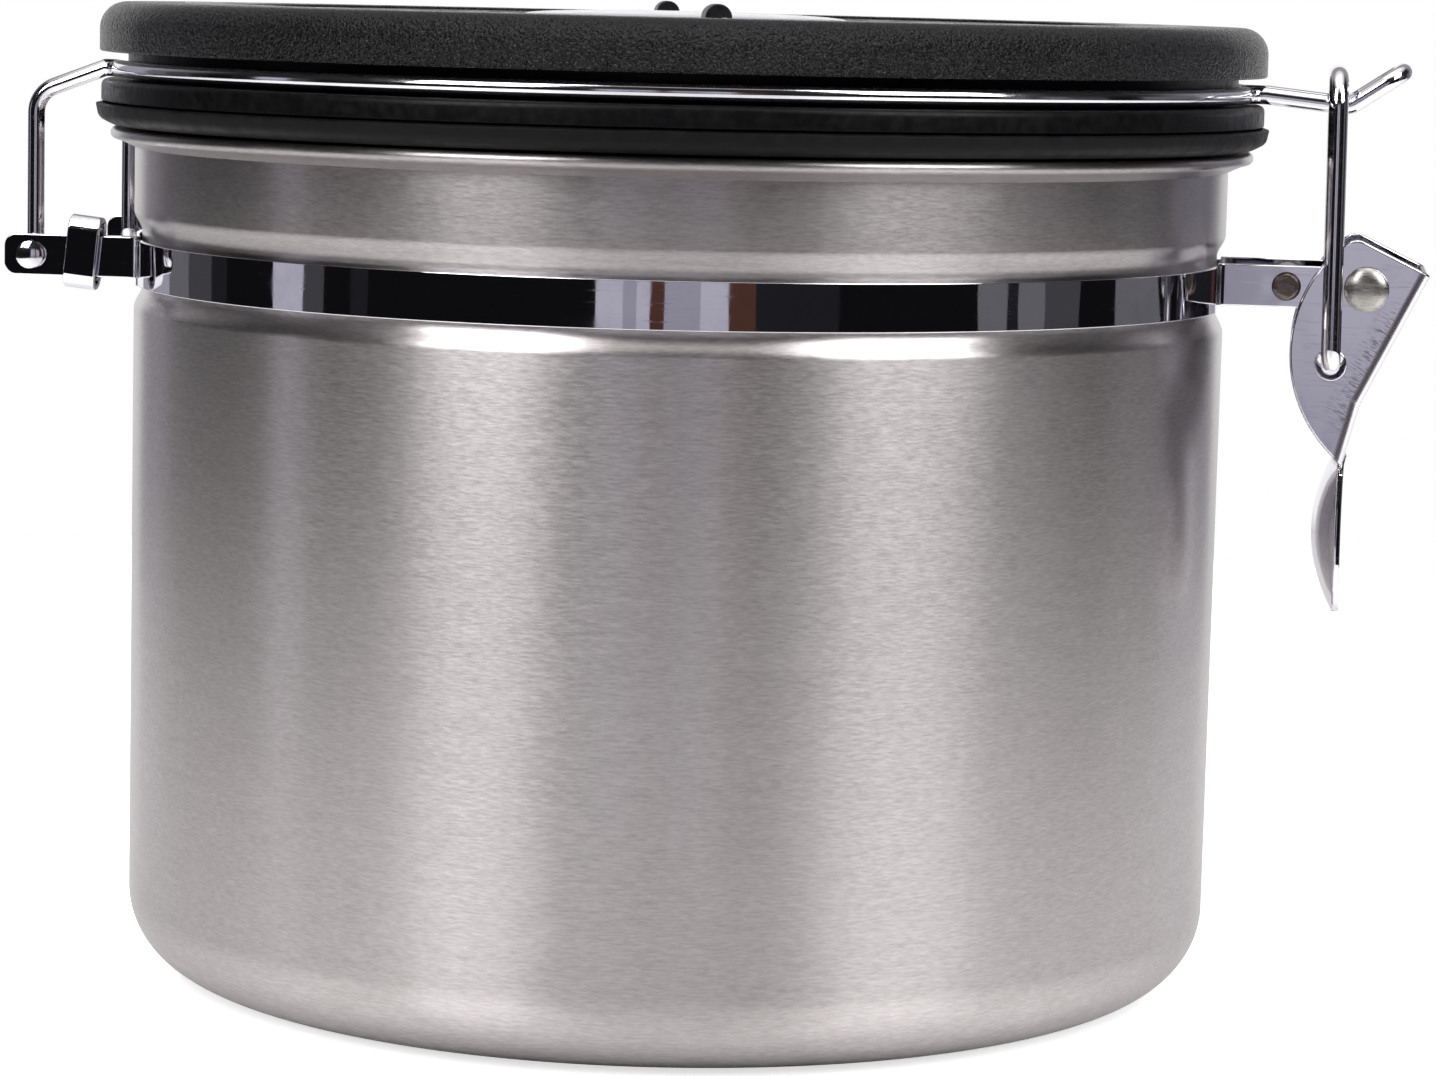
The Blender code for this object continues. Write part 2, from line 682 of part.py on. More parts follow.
def build_latch_loop(axis):
    rise = HOOK_HEIGHT + BAIL_RADIUS + LATCH_PLAY + LOOP_RADIUS - LOOP_PLACE.z
    tail = Vector((0, -(LEVER_INNER - LOOP_TAIL), 0))
    foot = Vector((0, -LOOP_LEG, 0))
    top = Vector((-LOOP_LEAN, -LOOP_LEG, rise))
    half = [tail] + bend(tail, foot, top, LOOP_FOOT_BEND, LOOP_BEND_STEPS)
    half += bend(foot, top, Vector((-LOOP_LEAN, 0, rise)), LOOP_TOP_BEND, LOOP_BEND_STEPS)
    loop = wire("latch_loop", mirrored(half), LOOP_RADIUS, CHROME)
    loop.location = LOOP_PLACE
    return hang(loop, axis)


# Bail: one wire with a pin in each ear, two legs, a ring in the lid's groove and a hook
PIN_HEAD_HEIGHT = 0.0008
PIN_HEAD_EDGE = 0.0002
PIN_HEAD_STEP = 0.0001
PIN_SWELL_SHARES = {0: 1.15, 1: 1.6, 2: 1.6}
PIN_BEND = 0.0010
LEG_BEND = 0.0022
ARM_CLIMB = 0.0030
ARM_INSET = 0.0014
RING_ENTRY = 0.0012
HOOK_EXIT = 0.0016
HOOK_REACH = 0.0092
HOOK_BEND = 0.0008
HOOK_TIP_REACH = 0.0150
HOOK_TIP_RISE = 0.0039
HOOK_TIP_BEND = 0.0025
RING_STEPS = 18
BAIL_BEND_STEPS = 3


def bail_half():
    """The front half of the bail's route, from the head of its pin to the tip of the hook."""
    x, z = HINGE_PLACE.x, HINGE_PLACE.z
    head = EAR_OUTER + GAP
    head_end = head + PIN_HEAD_HEIGHT
    entry_x, entry_leave, entry_run = circle_exit(RING_RADIUS, LEG_OFFSET, RING_ENTRY)
    exit_x, exit_leave, exit_run = circle_exit(RING_RADIUS, HOOK_OFFSET, HOOK_EXIT)
    foot = Vector((x, -LEG_OFFSET, z))
    knee = Vector((x, -LEG_OFFSET, RING_HEIGHT - ARM_CLIMB))
    landing = Vector((-entry_x - ARM_INSET, -LEG_OFFSET, RING_HEIGHT))
    entry = Vector((-entry_x, -LEG_OFFSET, RING_HEIGHT))
    leaving = Vector((exit_x, -HOOK_OFFSET, RING_HEIGHT))
    lip = Vector((LID_RADIUS, -HOOK_OFFSET, RING_HEIGHT))
    crook = Vector((LID_RADIUS + HOOK_REACH, -HOOK_OFFSET, HOOK_HEIGHT))
    tip = Vector((LID_RADIUS + HOOK_TIP_REACH, -HOOK_OFFSET, HOOK_HEIGHT + HOOK_TIP_RISE))
    start, end = math.pi + entry_leave, 2 * math.pi - exit_leave
    around = round_run(RING_RADIUS, start, end, RING_HEIGHT, RING_STEPS)
    route = [Vector((x, -y, z)) for y in (head_end, head_end - PIN_HEAD_EDGE, head, head - PIN_HEAD_STEP)]
    route += bend(route[-1], foot, knee, PIN_BEND, BAIL_BEND_STEPS)
    route += bend(foot, knee, landing, LEG_BEND, BAIL_BEND_STEPS)
    route.append(landing)
    route += bend(landing, entry, around[0], entry_run, BAIL_BEND_STEPS)[:-1]
    route += around
    route += bend(around[-1], leaving, lip, exit_run, BAIL_BEND_STEPS)[1:]
    route.append(lip)
    route += bend(lip, crook, tip, HOOK_BEND, BAIL_BEND_STEPS)
    route += bend(crook, tip, Vector((tip.x, 0, tip.z)), HOOK_TIP_BEND, BAIL_BEND_STEPS)
    return route


def build_bail(axis):
    route = mirrored(bail_half())
    swell_shares = dict(PIN_SWELL_SHARES)
    for index, share in PIN_SWELL_SHARES.items():
        swell_shares[len(route) - 1 - index] = share
    points = [point - HINGE_PLACE for point in route]
    bail = wire("bail_wire", points, BAIL_RADIUS, CHROME, swell_shares)
    bail.location = HINGE_PLACE
    return hang(bail, axis)


# Lid cap: grained shell with a rounded edge, a sunk floor for the dials and four screw bosses
CAP_ROUND = 0.0030
CAP_WALL = 0.0018
CAP_STEPS = 4
DIAL_MARGIN = 0.0156
DIAL_DEPTH = 0.0027
DAY_WIDTH = 0.0094
MONTH_WIDTH = 0.0093
HUB_WIDTH = 0.0131
VENT_INSET = 0.0046
SCREW_COUNT = 4
SCREW_INSET = 0.0104
SCREW_START_ANGLE = 45
SCREW_SHANK = 0.0012
SCREW_BITE = 0.0080
BOSS_RADIUS = 0.0032
PLUG_DEPTH = 0.0028
PLUG_WALL = 0.0018
DIAL_RECESS = LID_RADIUS - DIAL_MARGIN
DAY_BORE = DIAL_RECESS - DAY_WIDTH
MONTH_BORE = DAY_BORE - MONTH_WIDTH
HUB_BORE = MONTH_BORE - HUB_WIDTH
VENT_RADIUS = HUB_BORE - VENT_INSET
SCREW_CIRCLE = DIAL_RECESS - SCREW_INSET
DIAL_FLOOR = LID_TOP - DIAL_DEPTH
PLUG_BOTTOM = RIM_HEIGHT - PLUG_DEPTH
PLUG_TOP = PLUG_BOTTOM + PLUG_WALL
BOSS_FOOT = PLUG_TOP + GAP


def posts(name, radius, low, high):
    """Four upright cutters on the screw circle."""
    place = (0, 0, (low + high) / 2)
    single = rod(name, place, radius, high - low, HOLE_STEPS, upright=True)
    return ring_of(single, SCREW_COUNT, SCREW_CIRCLE, SCREW_START_ANGLE)


def build_lid_cap(axis):
    bore = NECK_RADIUS + GAP
    shelf = LID_TOP - CAP_WALL
    floor_below = DIAL_FLOOR - CAP_WALL
    edge = (LID_RADIUS - CAP_ROUND, LID_TOP - CAP_ROUND)
    profile = [(DIAL_RECESS, LID_TOP)] + arc(edge, CAP_ROUND, 90, 0, CAP_STEPS)
    profile += [
        (LID_RADIUS, CAP_EDGE),
        (bore, CAP_EDGE),
        (bore, shelf),
        (DIAL_RECESS + CAP_WALL, shelf),
        (DIAL_RECESS + CAP_WALL, floor_below),
        (VENT_RADIUS, floor_below),
        (VENT_RADIUS, DIAL_FLOOR),
        (DIAL_RECESS, DIAL_FLOOR),
    ]
    cap = turned("lid_cap", profile, GRAINED_BLACK)
    cut(cap, posts("cap_bosses", BOSS_RADIUS, BOSS_FOOT, floor_below + CAP_WALL / 2), "UNION")
    cut(cap, posts("cap_pilot_holes", SCREW_SHANK + GAP, BOSS_FOOT - OVERRUN, BOSS_FOOT + SCREW_BITE))
    return hang(cap, axis)


# Lid base: smooth skirt, the neck that the bail's ring lies round, and the plug inside the rim
SKIRT_INSET = 0.0002
SKIRT_ROUND = 0.0008
SKIRT_STEPS = 3
GASKET_ROOM = 0.0029
PLUG_PLAY = 0.0038
PLUG_TAPER = 0.0016
BARREL_RADIUS = 0.0110
SKIRT_RADIUS = LID_RADIUS - SKIRT_INSET
PLUG_RADIUS = BODY_RADIUS - PLUG_PLAY
GASKET_SEAT = RIM_HEIGHT + GASKET_ROOM


def build_lid_base(axis):
    foot = PLUG_RADIUS - PLUG_TAPER
    neck_top = LID_TOP - CAP_WALL - GAP
    inner_seat = GASKET_SEAT + PLUG_WALL
    edge = (SKIRT_RADIUS - SKIRT_ROUND, SKIRT_TOP - SKIRT_ROUND)
    profile = [(NECK_RADIUS, neck_top), (NECK_RADIUS, SKIRT_TOP)]
    profile += arc(edge, SKIRT_ROUND, 90, 0, SKIRT_STEPS)
    profile += [
        (SKIRT_RADIUS, GASKET_SEAT),
        (PLUG_RADIUS, GASKET_SEAT),
        (foot, PLUG_BOTTOM),
        (BARREL_RADIUS + GAP, PLUG_BOTTOM),
        (BARREL_RADIUS + GAP, PLUG_TOP),
        (foot - PLUG_WALL, PLUG_TOP),
        (PLUG_RADIUS - PLUG_WALL, inner_seat),
        (NECK_RADIUS - PLUG_WALL, inner_seat),
        (NECK_RADIUS - PLUG_WALL, neck_top),
    ]
    base = turned("lid_base", profile, SMOOTH_BLACK)
    cut(base, posts("base_screw_holes", SCREW_SHANK + GAP, PLUG_BOTTOM - OVERRUN, PLUG_TOP + OVERRUN))
    return hang(base, axis)


# Lid gasket: soft ring with a flared lip, between the skirt and the rim of the can
GASKET_FLARE = 0.0004
GASKET_FOOT_INSET = 0.0014
GASKET_INSET = 0.0004
GASKET_LIP_DROP = 0.0002
GASKET_LIP = LID_RADIUS + GASKET_FLARE
GASKET_FOOT = LID_RADIUS - GASKET_FOOT_INSET


def build_lid_gasket(axis):
    top = GASKET_SEAT - GAP
    foot = RIM_HEIGHT + GAP
    bore = PLUG_RADIUS + GAP
    profile = [
        (bore, top),
        (SKIRT_RADIUS - GASKET_INSET, top),
        (GASKET_LIP, top - GASKET_LIP_DROP),
        (GASKET_FOOT, foot),
        (bore, foot),
    ]
    return hang(turned("lid_gasket", profile, GREY_SILICONE), axis)


# Lid screws: four from below, through the base into the bosses of the cap
SCREW_HEAD = 0.0026
SCREW_FACE = 0.0018
SCREW_HEAD_HEIGHT = 0.0012


def build_lid_screw(index, axis):
    seat = PLUG_BOTTOM - GAP
    tip = BOSS_FOOT + SCREW_BITE - OVERRUN
    angle = math.radians(SCREW_START_ANGLE + 360 * index / SCREW_COUNT)
    profile = [
        (0, tip),
        (SCREW_SHANK, tip - SCREW_SHANK),
        (SCREW_SHANK, seat),
        (SCREW_HEAD, seat),
        (SCREW_HEAD, seat - SCREW_HEAD_HEIGHT / 2),
        (SCREW_FACE, seat - SCREW_HEAD_HEIGHT),
        (0, seat - SCREW_HEAD_HEIGHT),
    ]
    screw = turned(f"lid_screw_{index + 1}", profile, RIVET_STEEL, closed=False, steps=HOLE_STEPS)
    screw.location = (SCREW_CIRCLE * math.cos(angle), SCREW_CIRCLE * math.sin(angle), 0)
    return hang(screw, axis)


# Dial rings: the day ring turns round the month ring, and the hub holds both down
DIAL_SINK = 0.0003
DAY_LEDGE = 0.0025
MONTH_LEDGE = 0.0032
LEDGE_HEIGHT = 0.0007
HUB_WALL = 0.0022
KNOB_WIDTH = 0.0028
KNOB_LENGTH = 0.0060
KNOB_RISE = 0.0017
KNOB_ROOT = 0.0005
DAY_KNOB_OFFSET = 0.0040
MONTH_KNOB_OFFSET = 0.0030
DAY_KNOB_ANGLE = math.radians(-77.9)
MONTH_KNOB_ANGLE = math.radians(101.8)
KNOB_STEPS = 6
DAY_KNOB_CIRCLE = DAY_BORE + DAY_KNOB_OFFSET
MONTH_KNOB_CIRCLE = MONTH_BORE + MONTH_KNOB_OFFSET
DIAL_SEAT = DIAL_FLOOR + GAP
DIAL_TOP = LID_TOP - DIAL_SINK
LEDGE_TOP = DIAL_SEAT + LEDGE_HEIGHT
LIP_BELOW = LEDGE_TOP + GAP


def add_knob(ring, circle, angle):
    """A low round-topped fin that lies along the radius, joined to its ring."""
    half = KNOB_WIDTH / 2
    foot = DIAL_TOP - KNOB_ROOT
    outline = [(-half, foot), (half, foot)]
    outline += arc((0, DIAL_TOP + KNOB_RISE - half), half, 0, 180, KNOB_STEPS)
    knob = plate(ring.name + "_knob", [outline], KNOB_LENGTH, None, True)
    knob.rotation_euler = (math.pi / 2, 0, angle + math.pi / 2)
    knob.location = (circle * math.cos(angle), circle * math.sin(angle), 0)
    cut(ring, knob, "UNION")


def build_day_ring(axis):
    ledge = DAY_BORE - DAY_LEDGE
    outer = DIAL_RECESS - GAP
    profile = [
        (DAY_BORE, DIAL_TOP),
        (outer, DIAL_TOP),
        (outer, DIAL_SEAT),
        (ledge, DIAL_SEAT),
        (ledge, LEDGE_TOP),
        (DAY_BORE, LEDGE_TOP),
    ]
    ring = turned("day_ring", profile, DIAL_GREY)
    add_knob(ring, DAY_KNOB_CIRCLE, DAY_KNOB_ANGLE)
    return hang(ring, axis)


def build_month_ring(axis):
    ledge = MONTH_BORE - MONTH_LEDGE
    tube = DAY_BORE - DAY_LEDGE - GAP
    lip = DAY_BORE - GAP
    profile = [
        (MONTH_BORE, DIAL_TOP),
        (lip, DIAL_TOP),
        (lip, LIP_BELOW),
        (tube, LIP_BELOW),
        (tube, DIAL_SEAT),
        (ledge, DIAL_SEAT),
        (ledge, LEDGE_TOP),
        (MONTH_BORE, LEDGE_TOP),
    ]
    ring = turned("month_ring", profile, DIAL_GREY)
    add_knob(ring, MONTH_KNOB_CIRCLE, MONTH_KNOB_ANGLE)
    return hang(ring, axis)


def build_dial_hub(axis):
    tube = MONTH_BORE - MONTH_LEDGE - GAP
    lip = MONTH_BORE - GAP
    profile = [
        (HUB_BORE, DIAL_TOP),
        (lip, DIAL_TOP),
        (lip, LIP_BELOW),
        (tube, LIP_BELOW),
        (tube, DIAL_SEAT),
        (tube - HUB_WALL, DIAL_SEAT),
        (tube - HUB_WALL, LIP_BELOW),
        (HUB_BORE, LIP_BELOW),
    ]
    return hang(turned("dial_hub", profile, SMOOTH_BLACK), axis)


# Gas valve: cover in the middle of the dials, barrel in the base, rubber disc, felt and grille
COVER_DOME = 0.0007
COVER_WALL = 0.0012
COVER_LEG_WALL = 0.0015
COVER_LEG_DROP = 0.0029
BARREL_WALL = 0.0014
BARREL_HEIGHT = 0.0046
BARREL_FLANGE = 0.0025
FLANGE_HEIGHT = 0.0012
SNAP_BEAD = 0.0008
DECK_RISE = 0.0016
DECK_WALL = 0.0012
STEM_RADIUS = 0.0010
STEM_BULB = 0.0017
BULB_HEIGHT = 0.0009
DISC_PLAY = 0.0016
DISC_HEIGHT = 0.0012
DISC_EDGE = 0.0002
VENT_HOLE = 0.0009
VENT_CIRCLE = 0.0050
VENT_COUNT = 6
FELT_THICKNESS = 0.0016
GRILLE_HOLE = 0.0012
GRILLE_OUTER_SHARE = 0.6771
GRILLE_INNER_SHARE = 0.2917
GRILLE_OUTER_COUNT = 6
GRILLE_INNER_COUNT = 3
GRILLE_STEPS = 6
HOLE_START_ANGLE = 7
BARREL_BORE = BARREL_RADIUS - BARREL_WALL
DISC_RADIUS = BARREL_BORE - DISC_PLAY
GRILLE_OUTER_CIRCLE = BARREL_BORE * GRILLE_OUTER_SHARE
GRILLE_INNER_CIRCLE = BARREL_BORE * GRILLE_INNER_SHARE
DECK_BELOW = PLUG_TOP + DECK_RISE
DECK_TOP = DECK_BELOW + DECK_WALL
FLANGE_TOP = PLUG_BOTTOM - GAP
FLANGE_BELOW = FLANGE_TOP - FLANGE_HEIGHT


def holes(name, radius, middle, length, count, circle):
    """Upright round cutters spread on a circle."""
    single = rod(name, (0, 0, middle), radius, length, GRILLE_STEPS, upright=True)
    return ring_of(single, count, circle, HOLE_START_ANGLE)


def build_valve_cover(axis):
    """A low domed button whose sleeve drops into the hole of the dial floor."""
    outer = HUB_BORE - GAP
    leg = VENT_RADIUS - GAP
    under = DIAL_TOP - COVER_WALL
    foot = DIAL_FLOOR - COVER_LEG_DROP
    crown = dome(outer, COVER_DOME, DIAL_TOP, DOME_STEPS)
    profile = crown + [
        (outer, DIAL_SEAT),
        (outer - COVER_WALL, DIAL_SEAT),
        (outer - COVER_WALL, under),
        (leg, under),
        (leg, foot),
        (leg - COVER_LEG_WALL, foot),
        (leg - COVER_LEG_WALL, under),
        (0, under),
    ]
    return hang(turned("valve_cover", profile, PALE_PLASTIC, closed=False, steps=SMALL_TURN_STEPS), axis)


def build_valve_body(axis):
    """A barrel that snaps into the base, with a flange below it and a pierced deck inside."""
    snap = PLUG_TOP + GAP
    profile = [
        (0, DECK_TOP),
        (BARREL_BORE, DECK_TOP),
        (BARREL_BORE, PLUG_TOP + BARREL_HEIGHT),
        (BARREL_RADIUS, PLUG_TOP + BARREL_HEIGHT),
        (BARREL_RADIUS, snap + SNAP_BEAD),
        (BARREL_RADIUS + SNAP_BEAD, snap),
        (BARREL_RADIUS, snap),
        (BARREL_RADIUS, FLANGE_TOP),
        (BARREL_RADIUS + BARREL_FLANGE, FLANGE_TOP),
        (BARREL_RADIUS + BARREL_FLANGE, FLANGE_BELOW),
        (BARREL_BORE, FLANGE_BELOW),
        (BARREL_BORE, DECK_BELOW),
        (0, DECK_BELOW),
    ]
    body = turned("valve_body", profile, SMOOTH_BLACK, closed=False, steps=SMALL_TURN_STEPS)
    middle = (DECK_BELOW + DECK_TOP) / 2
    length = DECK_WALL + OVERRUN
    cut(body, holes("deck_vents", VENT_HOLE, middle, length, VENT_COUNT, VENT_CIRCLE))
    cut(body, rod("deck_stem_hole", (0, 0, middle), STEM_RADIUS + GAP, length, HOLE_STEPS, upright=True))
    return hang(body, axis)


def build_valve_disc(axis):
    """A rubber umbrella on the deck, held by the bulb on its stem."""
    seat = DECK_TOP + GAP
    bulb = DECK_BELOW - GAP
    profile = dome(DISC_RADIUS, DISC_HEIGHT - DISC_EDGE, seat + DISC_EDGE, DOME_STEPS) + [
        (DISC_RADIUS, seat),
        (STEM_RADIUS, seat),
        (STEM_RADIUS, bulb),
        (STEM_BULB, bulb),
        (STEM_RADIUS, bulb - BULB_HEIGHT),
        (0, bulb - BULB_HEIGHT),
    ]
    return hang(turned("valve_disc", profile, PALE_SILICONE, closed=False, steps=SMALL_TURN_STEPS), axis)


def build_valve_filter(axis):
    felt = BARREL_BORE - GAP
    low = FLANGE_TOP + GAP
    profile = [(0, low + FELT_THICKNESS), (felt, low + FELT_THICKNESS), (felt, low), (0, low)]
    return hang(turned("valve_filter", profile, WHITE_FELT, closed=False, steps=SMALL_TURN_STEPS), axis)


def build_filter_grille(axis):
    """A pierced disc in the mouth of the barrel, under the felt."""
    radius = BARREL_BORE - GAP
    profile = [(0, FLANGE_TOP), (radius, FLANGE_TOP), (radius, FLANGE_BELOW), (0, FLANGE_BELOW)]
    grille = turned("filter_grille", profile, SMOOTH_BLACK, closed=False, steps=SMALL_TURN_STEPS)
    middle = (FLANGE_TOP + FLANGE_BELOW) / 2
    length = FLANGE_HEIGHT + OVERRUN
    for label, count, circle in (
        ("outer", GRILLE_OUTER_COUNT, GRILLE_OUTER_CIRCLE),
        ("inner", GRILLE_INNER_COUNT, GRILLE_INNER_CIRCLE),
    ):
        cut(grille, holes(f"grille_{label}_holes", GRILLE_HOLE, middle, length, count, circle))
    return hang(grille, axis)


lid_axis = axis_empty("lid_hinge_axis", HINGE_PLACE)
dial_axis = axis_empty("dial_axis", (0, 0, DIAL_SEAT), lid_axis)
lever_axis = axis_empty("lever_pivot_axis", PIVOT_PLACE)
loop_axis = axis_empty("loop_hinge_axis", LOOP_PLACE, lever_axis)

build_can_body()
build_band("band_front", -1)
build_band("band_rear", 1)
build_hinge_bridge()
build_hinge_collar("hinge_collar_front", -1)
build_hinge_collar("hinge_collar_rear", 1)
build_closing_rivet()
build_lever_pivot()
build_latch_lever(lever_axis)
build_latch_loop(loop_axis)
build_bail(lid_axis)
build_lid_cap(lid_axis)
build_lid_base(lid_axis)
build_lid_gasket(lid_axis)
for number in range(SCREW_COUNT):
    build_lid_screw(number, lid_axis)
build_dial_hub(lid_axis)
build_day_ring(dial_axis)
build_month_ring(dial_axis)
build_valve_cover(lid_axis)
build_valve_body(lid_axis)
build_valve_disc(lid_axis)
build_valve_filter(lid_axis)
build_filter_grille(lid_axis)
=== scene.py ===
"""Coffee canister with a wire bail, an over-centre latch and a lid with two date dials."""
import math
from contextlib import contextmanager

import bmesh
import bpy
from mathutils import Euler, Matrix, Vector


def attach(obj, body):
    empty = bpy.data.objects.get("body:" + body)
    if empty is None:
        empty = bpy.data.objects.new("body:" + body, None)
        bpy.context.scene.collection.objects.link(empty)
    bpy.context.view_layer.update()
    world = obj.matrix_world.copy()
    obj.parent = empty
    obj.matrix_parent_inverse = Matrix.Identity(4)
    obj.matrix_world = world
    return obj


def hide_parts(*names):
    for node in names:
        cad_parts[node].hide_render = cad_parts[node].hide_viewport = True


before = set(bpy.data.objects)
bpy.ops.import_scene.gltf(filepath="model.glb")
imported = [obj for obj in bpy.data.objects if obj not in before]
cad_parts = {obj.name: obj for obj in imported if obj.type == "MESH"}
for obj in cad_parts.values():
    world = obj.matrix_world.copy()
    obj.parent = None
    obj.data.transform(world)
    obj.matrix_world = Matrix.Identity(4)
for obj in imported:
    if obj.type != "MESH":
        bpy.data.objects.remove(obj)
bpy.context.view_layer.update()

scene = bpy.context.scene
scene.view_settings.view_transform = "Standard"


# Camera. It stands half a metre away with a long lens, just above the lid, and leans a little.
# The canister's latch side is turned slightly towards it.
CAMERA_DISTANCE = 0.51157
CAMERA_HEIGHT = 0.1120
CAMERA_TURN = math.radians(8)
CAMERA_YAW = 0.0100
CAMERA_PITCH = 0.1218
CAMERA_LEAN = 0.0241
CAMERA_LENS = 111.95


def add_object(name, data):
    """A new object in the scene."""
    item = bpy.data.objects.new(name, data)
    scene.collection.objects.link(item)
    return item


camera = add_object("camera", bpy.data.cameras.new("camera"))
scene.camera = camera
camera.data.lens = CAMERA_LENS
camera.data.clip_start = 0.01
turn = Matrix.Rotation(CAMERA_TURN, 3, "Z")
level = math.cos(CAMERA_PITCH)
aim = turn @ Vector((math.sin(CAMERA_YAW) * level, math.cos(CAMERA_YAW) * level, -math.sin(CAMERA_PITCH)))
across = turn @ Vector((math.cos(CAMERA_YAW), -math.sin(CAMERA_YAW), 0))
down = aim.cross(across)
right = math.cos(CAMERA_LEAN) * across - math.sin(CAMERA_LEAN) * down
lower = math.sin(CAMERA_LEAN) * across + math.cos(CAMERA_LEAN) * down
pose = Matrix((right, -lower, -aim)).transposed().to_4x4()
pose.translation = turn @ Vector((0, -CAMERA_DISTANCE, CAMERA_HEIGHT))
camera.matrix_world = pose


# Studio. A white table stands in a dim room with white and black cards round it, which the steel
# mirrors as upright bands. Behind the can a white sector is part of the room for every ray, and
# camera rays see white all round. Soft boxes hang left and right of the camera and above.
TABLE_RADIUS = 0.40
# The table's colour in front of the camera is a painted shadow of the camera.
TABLE_FRONT_SHADOWED = 0.70
TABLE_SIDES = 1.0
FRONT_EDGE = 0.25
SIDE_EDGE = 0.70
TABLE_GLOW = 0.66
TABLE_ROUGHNESS = 0.25
TABLE_IOR = 1.8
TABLE_STEPS = 96
CARD_TOP = 0.16
CARD_MIDDLE = -0.07
CARD_FOOT = -0.13
CARD_SHADE = 0.60
CARD_FADE = 0.10
CEILING_START = 0.70
CEILING_END = 0.86
BLACK_CARD = (0.005, 0.005, 0.006)
DARK_CARD = (0.014, 0.014, 0.016)
DIM_CARD = (0.055, 0.054, 0.058)
GREY_CARD = (0.13, 0.13, 0.14)
PALE_CARD = (0.31, 0.30, 0.36)
WHITE_CARD = (0.46, 0.45, 0.52)
BACK_CARD = (0.34, 0.33, 0.38)
BACKDROP = (1.0, 1.0, 1.0)
BROWN_CARD = (0.076, 0.033, 0.024)
UPPER_ROOM = (0.020, 0.019, 0.019)
UPPER_BACK = (0.34, 0.335, 0.35)
BACK_SPAN = (0.30, 0.38)
CEILING = (0.95, 0.92, 0.88)
CARDS = (
    (-180, BACKDROP),
    (-152, BACK_CARD),
    (-133, GREY_CARD),
    (-123, DIM_CARD),
    (-113, DARK_CARD),
    (-107, BLACK_CARD),
    (-92, WHITE_CARD),
    (-84, DIM_CARD),
    (-78, BLACK_CARD),
    (-71, DARK_CARD),
    (-67, BLACK_CARD),
    (-17, WHITE_CARD),
    (-12, PALE_CARD),
    (-8.9, WHITE_CARD),
    (-6.2, BROWN_CARD),
    (-3.8, PALE_CARD),
    (4, WHITE_CARD),
    (9, BROWN_CARD),
    (15, DARK_CARD),
    (31, BLACK_CARD),
    (62, GREY_CARD),
    (69, DARK_CARD),
    (73, GREY_CARD),
    (80, DIM_CARD),
    (89, BLACK_CARD),
    (101, GREY_CARD),
    (122, PALE_CARD),
    (140, BACK_CARD),
    (152, BACKDROP),
)
SOFT_BOXES = (
    ("soft_box_left", -41, 38, 0.95, 0.40, 0.60, 5.7),
    ("soft_box_right", 49, 38, 0.95, 0.48, 0.60, 5.7),
    ("soft_box_top", 10, 84, 0.90, 0.70, 0.70, 2.0),
)


def add_node(tree, kind, inputs=None, **settings):
    """A shader node with its settings and inputs; an input is a value or the socket that feeds it."""
    node = tree.nodes.new("ShaderNode" + kind)
    for key, value in settings.items():
        setattr(node, key, value)
    for key, value in (inputs or {}).items():
        if isinstance(value, bpy.types.NodeSocket):
            tree.links.new(value, node.inputs[key])
        else:
            node.inputs[key].default_value = value
    return node


def maths(tree, operation, *values):
    """One sum with values or sockets."""
    return add_node(tree, "Math", dict(enumerate(values)), operation=operation).outputs[0]


def vector_maths(tree, operation, inputs, output=0):
    """One vector sum; the output is named when it isn't the first."""
    return add_node(tree, "VectorMath", inputs, operation=operation).outputs[output]


def product(tree, value, *others):
    """Several values multiplied one after the other."""
    for other in others:
        value = maths(tree, "MULTIPLY", value, other)
    return value


def object_place(tree):
    """Where a point lies on its object, which doesn't change with the pose."""
    return add_node(tree, "TexCoord").outputs["Object"]


def blend_colours(tree, factor, first, second):
    return add_node(tree, "Mix", {0: factor, 6: first, 7: second}, data_type="RGBA").outputs[2]


def spread(tree, value, low, high, out_low=0.0, out_high=1.0):
    """A value stretched from one span to another and held at its ends."""
    return add_node(tree, "MapRange", dict(enumerate((value, low, high, out_low, out_high)))).outputs[0]


def facing_camera(tree, place):
    """A place or direction turned so that its first axis points at the camera."""
    return add_node(tree, "Mapping", {"Vector": place, "Rotation": (0, 0, camera_side)}).outputs[0]


def for_camera(tree, others_meet, camera_sees):
    """One shader for camera rays and another for all other rays."""
    seen = add_node(tree, "LightPath").outputs["Is Camera Ray"]
    return add_node(tree, "MixShader", {0: seen, 1: others_meet, 2: camera_sees}).outputs[0]


camera_side = math.pi / 2 - CAMERA_TURN
room = bpy.data.worlds.new("studio_room")
scene.world = room
room.use_nodes = True
tree = room.node_tree
tree.nodes.clear()
direction = facing_camera(tree, add_node(tree, "TexCoord").outputs["Generated"])
parts = add_node(tree, "SeparateXYZ", {0: direction}).outputs
angle = maths(tree, "ARCTAN2", parts[1], parts[0])
share = maths(tree, "MULTIPLY_ADD", angle, 1 / (2 * math.pi), 0.5)
cards = add_node(tree, "ValToRGB", {0: share})
cards.color_ramp.interpolation = "CONSTANT"
for index, (start, colour) in enumerate(CARDS):
    place = (start + 180) / 360
    stop = cards.color_ramp.elements[index] if index < 2 else cards.color_ramp.elements.new(place)
    stop.position = place
    stop.color = (*colour, 1)
above_cards = spread(tree, parts[2], CARD_TOP, CARD_TOP + CARD_FADE)
near_ceiling = spread(tree, parts[2], CEILING_START, CEILING_END)
near_table = spread(tree, parts[2], CARD_FOOT, CARD_MIDDLE, CARD_SHADE, 1.0)
shaded = vector_maths(tree, "SCALE", {0: cards.outputs[0], "Scale": near_table})
from_front = maths(tree, "ABSOLUTE", maths(tree, "SUBTRACT", share, 0.5))
behind = spread(tree, from_front, *BACK_SPAN)
